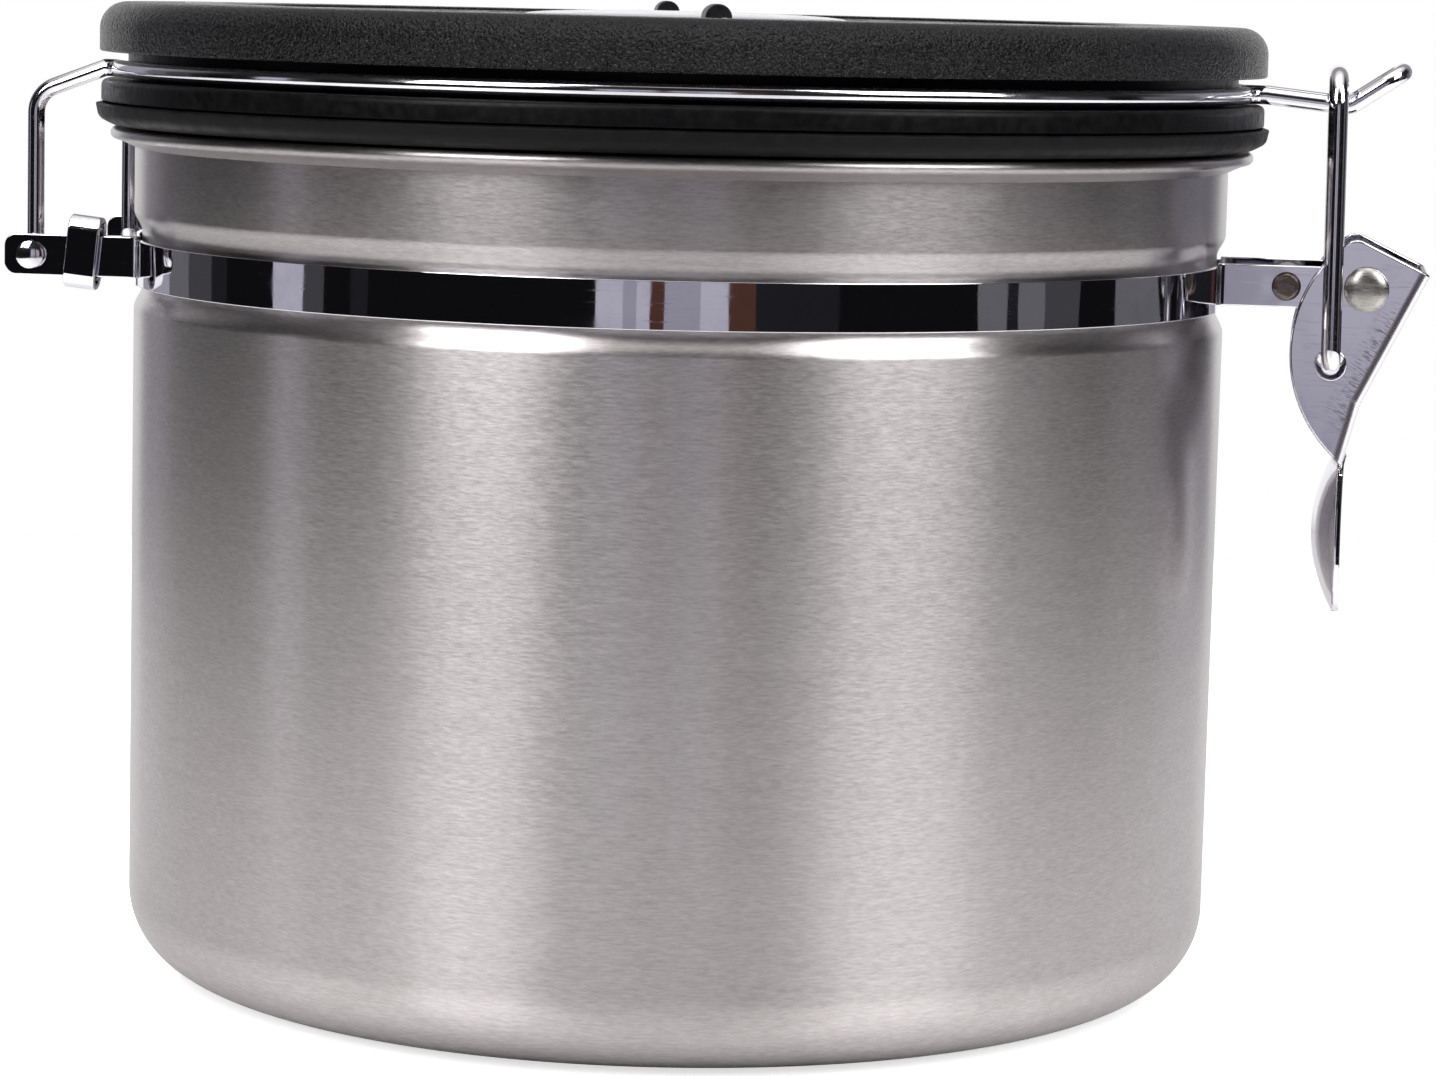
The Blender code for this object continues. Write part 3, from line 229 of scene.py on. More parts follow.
upper = blend_colours(tree, behind, (*UPPER_ROOM, 1), (*UPPER_BACK, 1))
walls = blend_colours(tree, above_cards, shaded, upper)
surround = blend_colours(tree, near_ceiling, walls, (*CEILING, 1))
mirrored_room = add_node(tree, "Background", {"Color": surround, "Strength": 1.0}).outputs[0]
backdrop = add_node(tree, "Background", {"Color": (*BACKDROP, 1), "Strength": 1.0}).outputs[0]
add_node(tree, "OutputWorld", {0: for_camera(tree, mirrored_room, backdrop)})

for name, bearing, height_angle, distance, width, height, power in SOFT_BOXES:
    lamp = bpy.data.lights.new(name, "AREA")
    lamp.shape = "RECTANGLE"
    lamp.size, lamp.size_y = width, height
    lamp.energy = power
    box = add_object(name, lamp)
    flat = math.radians(bearing) - camera_side
    lift = math.radians(height_angle)
    out = Vector((math.cos(flat) * math.cos(lift), math.sin(flat) * math.cos(lift), math.sin(lift)))
    box.location = out * distance
    box.rotation_euler = out.to_track_quat("Z", "Y").to_euler()

table_mesh = bpy.data.meshes.new("table")
sheet = bmesh.new()
bmesh.ops.create_circle(sheet, cap_ends=True, radius=TABLE_RADIUS, segments=TABLE_STEPS)
sheet.to_mesh(table_mesh)
sheet.free()
table = add_object("table", table_mesh)
table_white = bpy.data.materials.new("white_table")
table_white.use_nodes = True
tree = table_white.node_tree
tree.nodes.clear()
# The table is darker in front of the camera than at the sides: a painted shadow of the camera, which the
# steel mirrors.
flat_way = vector_maths(tree, "NORMALIZE", {0: facing_camera(tree, object_place(tree))})
sideways = maths(tree, "ABSOLUTE", add_node(tree, "SeparateXYZ", {0: flat_way}).outputs[1])
whiteness_with_painted_shadow = spread(tree, sideways, FRONT_EDGE, SIDE_EDGE, TABLE_FRONT_SHADOWED, TABLE_SIDES)
table_colour = add_node(tree, "CombineColor", dict.fromkeys(range(3), whiteness_with_painted_shadow)).outputs[0]
matte = add_node(
    tree, "BsdfPrincipled", {"Base Color": table_colour, "Roughness": TABLE_ROUGHNESS, "IOR": TABLE_IOR}
).outputs[0]
glow = add_node(tree, "Emission", {"Color": (1, 1, 1, 1), "Strength": TABLE_GLOW}).outputs[0]
lit = add_node(tree, "AddShader", {0: matte, 1: glow}).outputs[0]
add_node(tree, "OutputMaterial", {0: for_camera(tree, matte, lit)})
table_mesh.materials.append(table_white)


# Can. One sheet of stainless steel, drawn and spun, with a groove for the band and a rolled rim.
# It is brushed round and round, so it spreads what it mirrors up and down.
BODY_RADIUS = 0.0620
BODY_WALL = 0.0006
RIM_HEIGHT = 0.0954
BASE_CORNER = 0.0090
BAND_HEIGHT = 0.0804
GROOVE_DEPTH = 0.0009
GROOVE_TOP = 0.0837
GROOVE_BOTTOM = 0.07745
SHOULDER_HEIGHT = 0.0024
RIM_ROLL = 0.00065
RIM_REACH = 0.0021
FLARE_HEIGHT = 0.0022
BEAD_RADIUS = 0.0455
BEAD_WIDTH = 0.0050
BEAD_DEPTH = 0.0007
SPIN_STEPS = 192
SHARP_ANGLE = math.radians(38)
STEEL_DARK = (0.44, 0.410, 0.411, 1)
STEEL_LIGHT = (0.60, 0.565, 0.567, 1)
STEEL_STRETCH = 0.80
LINE_DEPTH = 0.0001
# Share of the steel's colour kept on the neck: painted shade under the lid.
NECK_PAINTED_SHADE = 0.72
INSIDE_DARK = (0.60, 0.59, 0.59, 1)
INSIDE_LIGHT = (0.68, 0.67, 0.67, 1)
INSIDE_METALLIC = 0.8
FACES_DOWN = -0.95


def evenly(start, end, count):
    """Evenly spaced values, both ends included."""
    return [start + (end - start) * index / count for index in range(count + 1)]


def around_axis(radius, angle, height=0.0):
    """A place from its distance to the Z axis, its angle and its height."""
    return Vector((radius * math.cos(angle), radius * math.sin(angle), height))


def arc(centre, radius, start, end, count):
    """Points on an arc about centre, angles in degrees, both ends included."""
    angles = [math.radians(angle) for angle in evenly(start, end, count)]
    x, y = centre
    return [(x + radius * math.cos(angle), y + radius * math.sin(angle)) for angle in angles]


def spun(name, profile, closed=False, steps=SPIN_STEPS):
    """A turned piece. Its profile of radius and height runs down the outer side."""
    points, faces, rings = [], [], []
    for radius, height in profile:
        count = steps if radius > 0 else 1
        rings.append([len(points) + step % count for step in range(steps)])
        points += [around_axis(radius, 2 * math.pi * step / steps, height) for step in range(count)]
    following = rings[1:] + rings[:1] if closed else rings[1:]
    for upper, under in zip(rings, following):
        for step in range(steps):
            after = (step + 1) % steps
            corners = (upper[step], under[step], under[after], upper[after])
            faces.append(tuple(dict.fromkeys(corners)))
    mesh = bpy.data.meshes.new(name)
    mesh.from_pydata(points, [], faces)
    mesh.shade_smooth()
    mesh.set_sharp_from_angle(angle=SHARP_ANGLE)
    return add_object(name, mesh)


def shoulder(radius, low, high, count):
    """The soft step from the groove, at low, out to the full radius, at high."""
    shares = evenly(0, 1, count)
    return [(radius - GROOVE_DEPTH * (1 - x * x * (3 - 2 * x)), low + (high - low) * x) for x in shares]


def can_side(inset):
    """The side of the can from the foot of the flare down to the base corner."""
    radius = BODY_RADIUS - inset
    upper = shoulder(radius, GROOVE_TOP, GROOVE_TOP + SHOULDER_HEIGHT, 10)
    under = shoulder(radius, GROOVE_BOTTOM, GROOVE_BOTTOM - SHOULDER_HEIGHT, 10)
    return [(radius, RIM_HEIGHT - FLARE_HEIGHT)] + upper[::-1] + under


def base_bead(lift):
    """The ring stamped up into the base, from the outside in."""
    return [
        (BEAD_RADIUS + BEAD_WIDTH * (0.5 - share), lift + BEAD_DEPTH * math.sin(math.pi * share) ** 2)
        for share in evenly(0, 1, 16)
    ]


def new_surface(name, **values):
    """A shader group with an input for each value, and a colour, a roughness and a normal for outputs."""
    surface = bpy.data.node_groups.new(name, "ShaderNodeTree")
    for label, value in values.items():
        kind = "NodeSocketColor" if isinstance(value, tuple) else "NodeSocketFloat"
        socket = surface.interface.new_socket(label.replace("_", " "), in_out="INPUT", socket_type=kind)
        socket.default_value = value
    for label, kind in (("Colour", "Color"), ("Roughness", "Float"), ("Normal", "Vector")):
        surface.interface.new_socket(label, in_out="OUTPUT", socket_type="NodeSocket" + kind)
    return surface, surface.nodes.new("NodeGroupInput").outputs


def close_surface(surface, *results):
    """Link a group's colour, roughness and normal to its outputs."""
    outputs = surface.nodes.new("NodeGroupOutput").inputs
    for socket, output in zip(results, outputs):
        surface.links.new(socket, output)


def surface_material(name, surface, metallic=0.0, **values):
    """A Principled material fed by a shared surface with its own values; gives all its parts."""
    material = bpy.data.materials.new(name)
    material.use_nodes = True
    tree = material.node_tree
    shader = tree.nodes["Principled BSDF"]
    values = {label.replace("_", " "): value for label, value in values.items()}
    made = add_node(tree, "Group", values, node_tree=surface).outputs
    for socket, label in zip(made, ("Base Color", "Roughness", "Normal")):
        tree.links.new(socket, shader.inputs[label])
    shader.inputs["Metallic"].default_value = metallic
    return material, tree, shader, made


def noise(tree, vector, size, detail, roughness=0.5):
    """The strength of a noise at a place."""
    inputs = {"Vector": vector, "Scale": size, "Detail": detail, "Roughness": roughness}
    return add_node(tree, "TexNoise", inputs).outputs[0]


brushing, given = new_surface(
    "brushed_lines",
    Dark=STEEL_DARK,
    Light=STEEL_LIGHT,
    Line_Length=800.0,
    Line_Count=5200.0,
    Smooth=0.29,
    Rough=0.33,
    Depth=0.05,
)
line_size = dict(enumerate((given["Line Length"], given["Line Length"], given["Line Count"])))
line_size = add_node(brushing, "CombineXYZ", line_size).outputs[0]
drawn = vector_maths(brushing, "MULTIPLY", {0: object_place(brushing), 1: line_size})
fine = noise(brushing, drawn, 1.0, 3.0, 0.6)
broad = noise(brushing, drawn, 0.22, 2.0)
streaks = maths(brushing, "MULTIPLY_ADD", broad, 0.2, maths(brushing, "MULTIPLY", fine, 0.8))
tone = spread(brushing, streaks, 0.32, 0.68)
colour = blend_colours(brushing, tone, given["Dark"], given["Light"])
grit = spread(brushing, fine, 0.3, 0.7, given["Smooth"], given["Rough"])
bump = {"Strength": given["Depth"], "Distance": LINE_DEPTH, "Height": streaks}
close_surface(brushing, colour, grit, add_node(brushing, "Bump", bump).outputs[0])

can_steel, tree, shader, brushed = surface_material("brushed_stainless_can", brushing, 1.0)
# Above the band's groove the steel's colour is darkened towards the lid: painted shade under the lid's
# overhang.
height = add_node(tree, "SeparateXYZ", {0: object_place(tree)}).outputs[2]
painted_neck_shade = spread(tree, height, GROOVE_BOTTOM, GROOVE_TOP + SHOULDER_HEIGHT, 1.0, NECK_PAINTED_SHADE)
steel_with_neck_shade = vector_maths(tree, "SCALE", {0: brushed["Colour"], "Scale": painted_neck_shade})
tangent = add_node(tree, "Tangent", direction_type="RADIAL", axis="Z").outputs[0]
tree.links.new(steel_with_neck_shade, shader.inputs["Base Color"])
tree.links.new(tangent, shader.inputs["Tangent"])
shader.inputs["Anisotropic"].default_value = STEEL_STRETCH
shader.inputs["Anisotropic Rotation"].default_value = 0.25
inner_steel, *_ = surface_material(
    "drawn_steel_inside", brushing, INSIDE_METALLIC,
    Dark=INSIDE_DARK, Light=INSIDE_LIGHT, Smooth=0.46, Rough=0.54
)

corner = (BODY_RADIUS - BASE_CORNER, BASE_CORNER)
inside = can_side(BODY_WALL) + arc(corner, BASE_CORNER - BODY_WALL, 0, -90, 20)
inside += base_bead(BODY_WALL) + [(0, BODY_WALL)]
rim = arc((BODY_RADIUS + RIM_REACH, RIM_HEIGHT - RIM_ROLL), RIM_ROLL, 135, -100, 16)
outside = can_side(0) + arc(corner, BASE_CORNER, 0, -90, 24) + base_bead(0) + [(0, 0)]
can = spun("can_shell", inside[::-1] + rim + outside)
can.data.materials.append(can_steel)
can.data.materials.append(inner_steel)
inner_faces = (len(inside) - 1) * SPIN_STEPS
for face in can.data.polygons:
    if face.index < inner_faces or face.normal.z < FACES_DOWN:
        face.material_index = 1
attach(can, "can")
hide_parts("can_body")


# Clamp band. Two mirror-plated strips lie in the can's groove. Each is bent out at the hinge into
# an ear with a clipped end, and at the latch into a round-ended tab.
BAND_WIDTH = 0.0051
STRIP_THICKNESS = 0.0006
STRAP_WIDTH = 0.0046
STRAP_RISE = 0.0006
STRAP_HEIGHT = BAND_HEIGHT + STRAP_RISE
GAP = 0.0003
OVERRUN = 0.0020
BAIL_RADIUS = 0.00095
LEG_OFFSET = 0.0200
HINGE_PLACE = Vector((-0.07015, 0, STRAP_HEIGHT))
PIVOT_PLACE = Vector((0.0778, 0, STRAP_HEIGHT))
EAR_INNER = LEG_OFFSET + BAIL_RADIUS + GAP
EAR_OUTER = EAR_INNER + STRIP_THICKNESS
EAR_END = 0.0031
EAR_CORNER = 0.0014
EAR_FOLD = 0.0013
TAB_OFFSET = 0.0069
TAB_END = 0.0026
TAB_FOLD = 0.0010
BAND_LINE = BODY_RADIUS - GROOVE_DEPTH + GAP + STRIP_THICKNESS / 2
EAR_LINE = EAR_INNER + STRIP_THICKNESS / 2
EAR_TIP = HINGE_PLACE.x - EAR_END
TAB_TIP = PIVOT_PLACE.x + TAB_END
CLOSING_X = BODY_RADIUS + 0.0070
CLOSING_SHANK = 0.0012
PIVOT_SHANK = 0.0013
STRIP_EDGE = 0.00012
MOST_CORNERS = 100
WELD_REACH = 0.000002
STRIP_DRILL = 0.002
UPRIGHT = (math.pi / 2, 0, 0)
RIPPLE_DEPTH = 0.0006
HAIRLINE_DEPTH = 0.00004
PLATING = (0.80, 0.79, 0.84, 1)
PLATING_SHADE = (0.62, 0.61, 0.67, 1)


def bend(before, corner, after, reach, count):
    """Points of the arc that rounds a corner and touches both runs at reach from it."""
    first = (before - corner).normalized()
    last = (after - corner).normalized()
    half = first.angle(last) / 2
    centre = corner + (first + last).normalized() * (reach / math.cos(half))
    start = corner + first * reach - centre
    end = corner + last * reach - centre
    sweep = start.angle(end)
    return [
        centre + (start * math.sin((1 - share) * sweep) + end * math.sin(share * sweep)) / math.sin(sweep)
        for share in evenly(0, 1, count)
    ]


def circle_exit(radius, offset, reach):
    """Where a circle about Z turns into a run along X at a distance offset from it.

    Gives the corner's x, the angle at which the bend leaves the circle and the bend's reach.
    """
    leave = math.asin(offset / radius) + reach / radius
    run = (radius * math.sin(leave) - offset) / math.cos(leave)
    return radius * math.cos(leave) + run * math.sin(leave), leave, run


def round_run(radius, start, end, height, count):
    """Points along a circle about Z, angles in radians, both ends included."""
    return [around_axis(radius, angle, height) for angle in evenly(start, end, count)]


def strip_outline(path, thickness):
    """Both faces of a bent strip seen edge on, from its centre line."""
    left, right = [], []
    for index, point in enumerate(path):
        into = (point - path[index - 1]).xy.normalized() if index else None
        out = (path[index + 1] - point).xy.normalized() if index < len(path) - 1 else into
        into = into or out
        along = (into + out).normalized()
        normal = Vector((-along.y, along.x)) * (thickness / 2 / along.dot(into))
        left.append(tuple(point.xy + normal))
        right.append(tuple(point.xy - normal))
    return left + right[::-1]


@contextmanager
def edited(mesh):
    """A mesh opened for editing and written back at the end."""
    work = bmesh.new()
    work.from_mesh(mesh)
    yield work
    work.to_mesh(mesh)
    work.free()


def as_mesh(item):
    """Swap an object for its finished mesh, welded, with its matrix kept."""
    bpy.context.view_layer.update()
    evaluated = item.evaluated_get(bpy.context.evaluated_depsgraph_get())
    mesh = bpy.data.meshes.new_from_object(evaluated)
    with edited(mesh) as work:
        bmesh.ops.remove_doubles(work, verts=work.verts, dist=WELD_REACH)
        bmesh.ops.recalc_face_normals(work, faces=work.faces)
    mesh.transform(item.matrix_world)
    name = item.name
    bpy.data.objects.remove(item, do_unlink=True)
    return add_object(name, mesh)


def add_run(curve, points):
    """Straight runs between points, as one more line of a curve."""
    spline = curve.splines.new("POLY")
    spline.points.add(len(points) - 1)
    for corner, point in zip(spline.points, points):
        corner.co = (*Vector(point).to_3d(), 1)
    return spline


def plate(name, outlines, thickness, place=(0, 0, 0), rotation=(0, 0, 0)):
    """A flat outline, with holes as further outlines, thickened about its own plane."""
    curve = bpy.data.curves.new(name, "CURVE")
    curve.dimensions = "2D"
    curve.fill_mode = "BOTH"
    curve.extrude = thickness / 2
    for outline in outlines:
        add_run(curve, outline).use_cyclic_u = True
    item = add_object(name, curve)
    item.rotation_euler = rotation
    item.location = place
    return as_mesh(item)


def carve(target, *tools, operation="DIFFERENCE"):
    """Cut, trim or join a mesh by others, which are then gone."""
    for tool in tools:
        modifier = target.modifiers.new("carve", "BOOLEAN")
        modifier.operation = operation
        modifier.solver = "EXACT"
        modifier.object = tool
    target = as_mesh(target)
    for tool in tools:
        bpy.data.objects.remove(tool, do_unlink=True)
    return target


def pin_tool(place, radius, length):
    """A round cutter along Y."""
    circle = arc((0, 0), radius, 0, 360 * 31 / 32, 31)
    return plate("hole_tool", [circle], length, place, UPRIGHT)


def split_long_faces(item):
    """Cut faces with very many corners into triangles, so that a ring of strip stays open inside."""
    with edited(item.data) as work:
        bmesh.ops.triangulate(work, faces=[face for face in work.faces if len(face.verts) > MOST_CORNERS])


def ease_edges(item, width, count=2):
    """The sharp edges rounded off a little."""
    edge = item.modifiers.new("eased_edges", "BEVEL")
    edge.width = width
    edge.segments = count
    edge.limit_method = "ANGLE"
    edge.angle_limit = SHARP_ANGLE
    return edge


def soften(item, width, count=2):
    """Smooth shading, with the sharp edges rounded off a little."""
    item.data.shade_smooth()
    item.data.set_sharp_from_angle(angle=SHARP_ANGLE)
    edge = ease_edges(item, width, count)
    edge.use_clamp_overlap = False
    edge.harden_normals = True
    flat = item.modifiers.new("flat_faces", "WEIGHTED_NORMAL")
    flat.weight = 90
    flat.keep_sharp = True


plated, given = new_surface(
    "plated_surface",
    Clean=PLATING,
    Dulled=PLATING_SHADE,
    Smooth=0.025,
    Rough=0.07,
    Waviness=0.03,
    Scratches=0.015,
)
spot = object_place(plated)
smears = noise(plated, spot, 220.0, 3.0, 0.6)
ripples = noise(plated, spot, 130.0, 1.0)
hairlines = noise(plated, vector_maths(plated, "MULTIPLY", {0: spot, 1: (260, 900, 4200)}), 1.0, 1.0)
hairlines = spread(plated, hairlines, 0.62, 0.70)
dull = spread(plated, smears, 0.5, 0.75)
colour = blend_colours(plated, maths(plated, "MULTIPLY", dull, 0.5), given["Clean"], given["Dulled"])
gloss = spread(plated, maths(plated, "MAXIMUM", dull, hairlines), 0.0, 1.0, given["Smooth"], given["Rough"])
rolled = {"Strength": given["Waviness"], "Distance": RIPPLE_DEPTH, "Height": ripples}
rolled = add_node(plated, "Bump", rolled).outputs[0]
scuffed = {"Strength": given["Scratches"], "Distance": HAIRLINE_DEPTH, "Height": hairlines, "Normal": rolled}
scuffed = add_node(plated, "Bump", scuffed, invert=True).outputs[0]
close_surface(plated, colour, gloss, scuffed)


def band_path():
    """Centre line of the front strip in plan, a little too long at both ends for the trim."""
    ear_x, ear_leave, ear_run = circle_exit(BAND_LINE, EAR_LINE, EAR_FOLD)
    tab_x, tab_leave, tab_run = circle_exit(BAND_LINE, TAB_OFFSET, TAB_FOLD)
    ear_tip = Vector((EAR_TIP - OVERRUN, -EAR_LINE, 0))
    tab_tip = Vector((TAB_TIP + OVERRUN, -TAB_OFFSET, 0))
    around = round_run(BAND_LINE, math.pi + ear_leave, 2 * math.pi - tab_leave, 0, 110)
    ear_bend = bend(ear_tip, Vector((-ear_x, -EAR_LINE, 0)), around[0], ear_run, 10)
    tab_bend = bend(around[-1], Vector((tab_x, -TAB_OFFSET, 0)), tab_tip, tab_run, 10)
    return [ear_tip] + ear_bend[:-1] + around + tab_bend[1:] + [tab_tip]


def band_side_view():
    """The strip seen from the front: full width round the can, with a narrower ear and tab."""
    wide = BAND_WIDTH / 2
    low = STRAP_RISE - STRAP_WIDTH / 2
    high = STRAP_RISE + STRAP_WIDTH / 2
    tab_step = BAND_LINE - STRIP_THICKNESS / 2
    ear_step = math.sqrt(BODY_RADIUS ** 2 - EAR_OUTER ** 2)
    ear_x = EAR_TIP + EAR_CORNER
    outline = [(-ear_step, -wide), (tab_step, -wide), (tab_step, low)]
    outline += arc((TAB_TIP - STRAP_WIDTH / 2, STRAP_RISE), STRAP_WIDTH / 2, -90, 90, 24)
    outline += [(tab_step, high), (tab_step, wide), (-ear_step, wide), (-ear_step, high)]
    outline += arc((ear_x, high - EAR_CORNER), EAR_CORNER, 90, 180, 10)
    outline += arc((ear_x, low + EAR_CORNER), EAR_CORNER, 180, 270, 10)
    return outline + [(-ear_step, low)]


strip_plating, *_ = surface_material("mirror_plated_strip", plated, 1.0)
for side, name, node in ((-1, "clamp_band_front", "band_front"), (1, "clamp_band_rear", "band_rear")):
    outline = [(x, -side * y) for x, y in strip_outline(band_path(), STRIP_THICKNESS)]
    place = (0, 0, BAND_HEIGHT)
    strip = plate(name, [outline], 2 * (BAND_WIDTH + STRAP_RISE), place)
    trim = plate("trim_tool", [band_side_view()], 2 * (BODY_RADIUS + OVERRUN), place, UPRIGHT)
    strip = carve(strip, trim, operation="INTERSECT")
    holes = [
        pin_tool((x, side * offset, STRAP_HEIGHT), radius, STRIP_DRILL)
        for x, offset, radius in (
            (HINGE_PLACE.x, EAR_LINE, BAIL_RADIUS + GAP),
            (CLOSING_X, TAB_OFFSET, CLOSING_SHANK + GAP),
            (PIVOT_PLACE.x, TAB_OFFSET, PIVOT_SHANK + GAP),
        )
    ]
    strip = carve(strip, *holes)
    split_long_faces(strip)
    soften(strip, STRIP_EDGE)
    strip.data.materials.append(strip_plating)
    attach(strip, "can")
    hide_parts(node)


# Hinge bridge. A short strip behind the can whose two ends lie inside the ears of the band.
# It is the same plated stock as the band.
BRIDGE_REACH = 0.0050
BRIDGE_LINE = EAR_INNER - GAP - STRIP_THICKNESS / 2


def mirrored(half):
    """A route and its reflection in y = 0, joined end to end."""
    return half + [Vector((point.x, -point.y, point.z)) for point in half[::-1]]


corner_x, leave, run = circle_exit(BAND_LINE, BRIDGE_LINE, -EAR_FOLD)
bridge_tip = Vector((-(BODY_RADIUS + BRIDGE_REACH), -BRIDGE_LINE, 0))
back = round_run(BAND_LINE, math.pi + leave, math.pi - leave, 0, 32)
half = [bridge_tip] + bend(bridge_tip, Vector((-corner_x, -BRIDGE_LINE, 0)), back[0], -run, 8)
path = half + back[1:-1] + mirrored(half)[len(half):]
bridge = plate("hinge_strap", [strip_outline(path, STRIP_THICKNESS)], STRAP_WIDTH, (0, 0, STRAP_HEIGHT))
soften(bridge, STRIP_EDGE)
bridge.data.materials.append(strip_plating)
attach(bridge, "can")
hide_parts("hinge_bridge")


# Hinge collars. Plated sheet rolled into flat ovals and crimped over an ear and an end of the bridge.
# They lean a little, as hand-crimped ones do.
COLLAR_WALL = 0.0007
COLLAR_LENGTH = 0.0036
COLLAR_HEIGHT = 0.0082
COLLAR_REACH = 0.0022
COLLAR_RISE = 0.0004
COLLAR_LEAN = math.radians(6)
COLLAR_BORE = 2 * STRIP_THICKNESS + 3 * GAP
COLLAR_EASE = 0.00018


def oval(width, height):
    """An upright outline with round ends, centred on zero."""
    radius = width / 2
    lift = height / 2 - radius
    return arc((0, lift), radius, 0, 180, 20) + arc((0, -lift), radius, 180, 360, 20)


collar_turn = Matrix.Rotation(COLLAR_LEAN, 3, "Y") @ Euler((math.pi / 2, 0, math.pi / 2)).to_matrix()
collar_middle = (EAR_OUTER + BRIDGE_LINE - STRIP_THICKNESS / 2) / 2
collar_outlines = [
    oval(COLLAR_BORE + 2 * COLLAR_WALL, COLLAR_HEIGHT),
    oval(COLLAR_BORE, COLLAR_HEIGHT - 2 * COLLAR_WALL),
]
for side, name, node in (
    (-1, "crimped_collar_front", "hinge_collar_front"),
    (1, "crimped_collar_rear", "hinge_collar_rear"),
):
    place = (-(BODY_RADIUS + COLLAR_REACH), side * collar_middle, STRAP_HEIGHT + COLLAR_RISE)
    collar = plate(name, collar_outlines, COLLAR_LENGTH, place, collar_turn.to_euler())
    soften(collar, COLLAR_EASE, 3)
    collar.data.materials.append(strip_plating)
    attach(collar, "can")
    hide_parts(node)


# Rivets across the latch tabs. The small flat one closes the band, and the domed one is the
# lever's pivot. Both are plain satin steel.
CLOSING_SPACER = 0.0020
CLOSING_HEAD = 0.0015
CLOSING_HEAD_HEIGHT = 0.0006
CLOSING_ROUND = 0.0004
CLOSING_BRIM = 0.0005
CLOSING_DISH = 0.0001
PIVOT_HEAD = 0.0025
PIVOT_HEAD_HEIGHT = 0.0010
LEVER_SHEET = 0.0008
TAB_OUTER = TAB_OFFSET + STRIP_THICKNESS / 2
TAB_INNER = TAB_OFFSET - STRIP_THICKNESS / 2
LEVER_INNER = TAB_OUTER + GAP
LEVER_OUTER = LEVER_INNER + LEVER_SHEET
RIVET_DARK = (0.10, 0.082, 0.078, 1)
RIVET_LIGHT = (0.22, 0.185, 0.175, 1)
PIVOT_DARK = (0.27, 0.26, 0.24, 1)
PIVOT_LIGHT = (0.50, 0.48, 0.46, 1)


def across_tabs(name, half_profile, x):
    """A rivet along Y, alike on both sides of the middle."""
    profile = half_profile + [(radius, -height) for radius, height in half_profile[::-1]]
    rivet = spun(name, profile, steps=64)
    rivet.data.transform(Matrix.Translation((x, 0, STRAP_HEIGHT)) @ Matrix.Rotation(math.pi / 2, 4, "X"))
    return rivet


def dome(radius, foot, rise, count):
    """A quarter of an oval, from its top on the axis down to its foot."""
    angles = evenly(0, math.pi / 2, count)
    return [(radius * math.sin(angle), foot + rise * math.cos(angle)) for angle in angles]


def satin_material(name, dark, light, roughness):
    """Plain steel with fine lines across it."""
    values = {"Dark": dark, "Light": light, "Smooth": roughness, "Rough": roughness + 0.10}
    return surface_material(name, brushing, 1.0, Line_Length=900.0, **values)[0]


seat = TAB_OUTER + GAP
face = seat + CLOSING_HEAD_HEIGHT
closing_profile = [(0, face - CLOSING_DISH), (CLOSING_HEAD - CLOSING_BRIM, face - CLOSING_DISH)]
closing_profile += arc((CLOSING_HEAD - CLOSING_ROUND, face - CLOSING_ROUND), CLOSING_ROUND, 90, 0, 8)
closing_profile += [(CLOSING_HEAD, seat), (CLOSING_SHANK, seat)]
closing_profile += [(CLOSING_SHANK, TAB_INNER - GAP), (CLOSING_SPACER, TAB_INNER - GAP)]
closing = across_tabs("closing_rivet_heads", closing_profile, CLOSING_X)
closing.data.materials.append(satin_material("dull_rivet_steel", RIVET_DARK, RIVET_LIGHT, 0.28))
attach(closing, "can")
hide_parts("closing_rivet")

seat = LEVER_OUTER + GAP
pivot_profile = dome(PIVOT_HEAD, seat, PIVOT_HEAD_HEIGHT, 20) + [(PIVOT_SHANK, seat)]
pivot = across_tabs("domed_pivot_rivet", pivot_profile, PIVOT_PLACE.x)
pivot.data.materials.append(satin_material("satin_rivet_steel", PIVOT_DARK, PIVOT_LIGHT, 0.26))
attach(pivot, "can")
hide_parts("lever_pivot")


# Latch lever. One plated blank folded into two cheeks and an outer web, drawn together at the neck
# and pressed into a dished thumb tab below it. Both folds carry a painted dark line of shade on their
# rounding, and the cheeks carry short scuffs beside the upper one.
LEVER_DROP = 0.0198
LEVER_FOLD = 0.0008
LEVER_NOSE = 0.0010
LEVER_EASE = 0.00028
SAME_PLACE = 0.00001
LEVER_DRILL = 0.03
CHEEK_TOP = (-0.063, 0.286)
CHEEK_SHOULDER = (-0.150, 0.235)
CHEEK_BELLY = (-0.412, -0.323)
CHEEK_HEEL = (-0.202, -0.896)
WEB_TOP = (0.352, 0.087)
WEB_KNEE = (-0.010, -0.653)
NECK = (-0.100, -1.0)
WELL_FLOOR = -0.93
LOOP_SHARES = (-0.1818, -0.4293)
LOOP_RADIUS = 0.001075
LOOP_HOLE = LOOP_RADIUS + 0.0005
SCUFF_COUNT = 5200.0
SCUFF_STRETCH = 7.0
SCUFF_REACH = 0.0036
SCUFF_TOP = 0.0130
SCUFF_FULL = 0.0080
SCUFF_FOOT = (-0.0040, -0.0015)
SCUFF_AND_FOLD_SHADE_DARK = (0.13, 0.11, 0.125, 1)
SCUFF_AND_SHADE_COVER = 0.9
MARK_ROUGHNESS = 0.22
KNEE_SPAN = (0.0006, -0.0002)
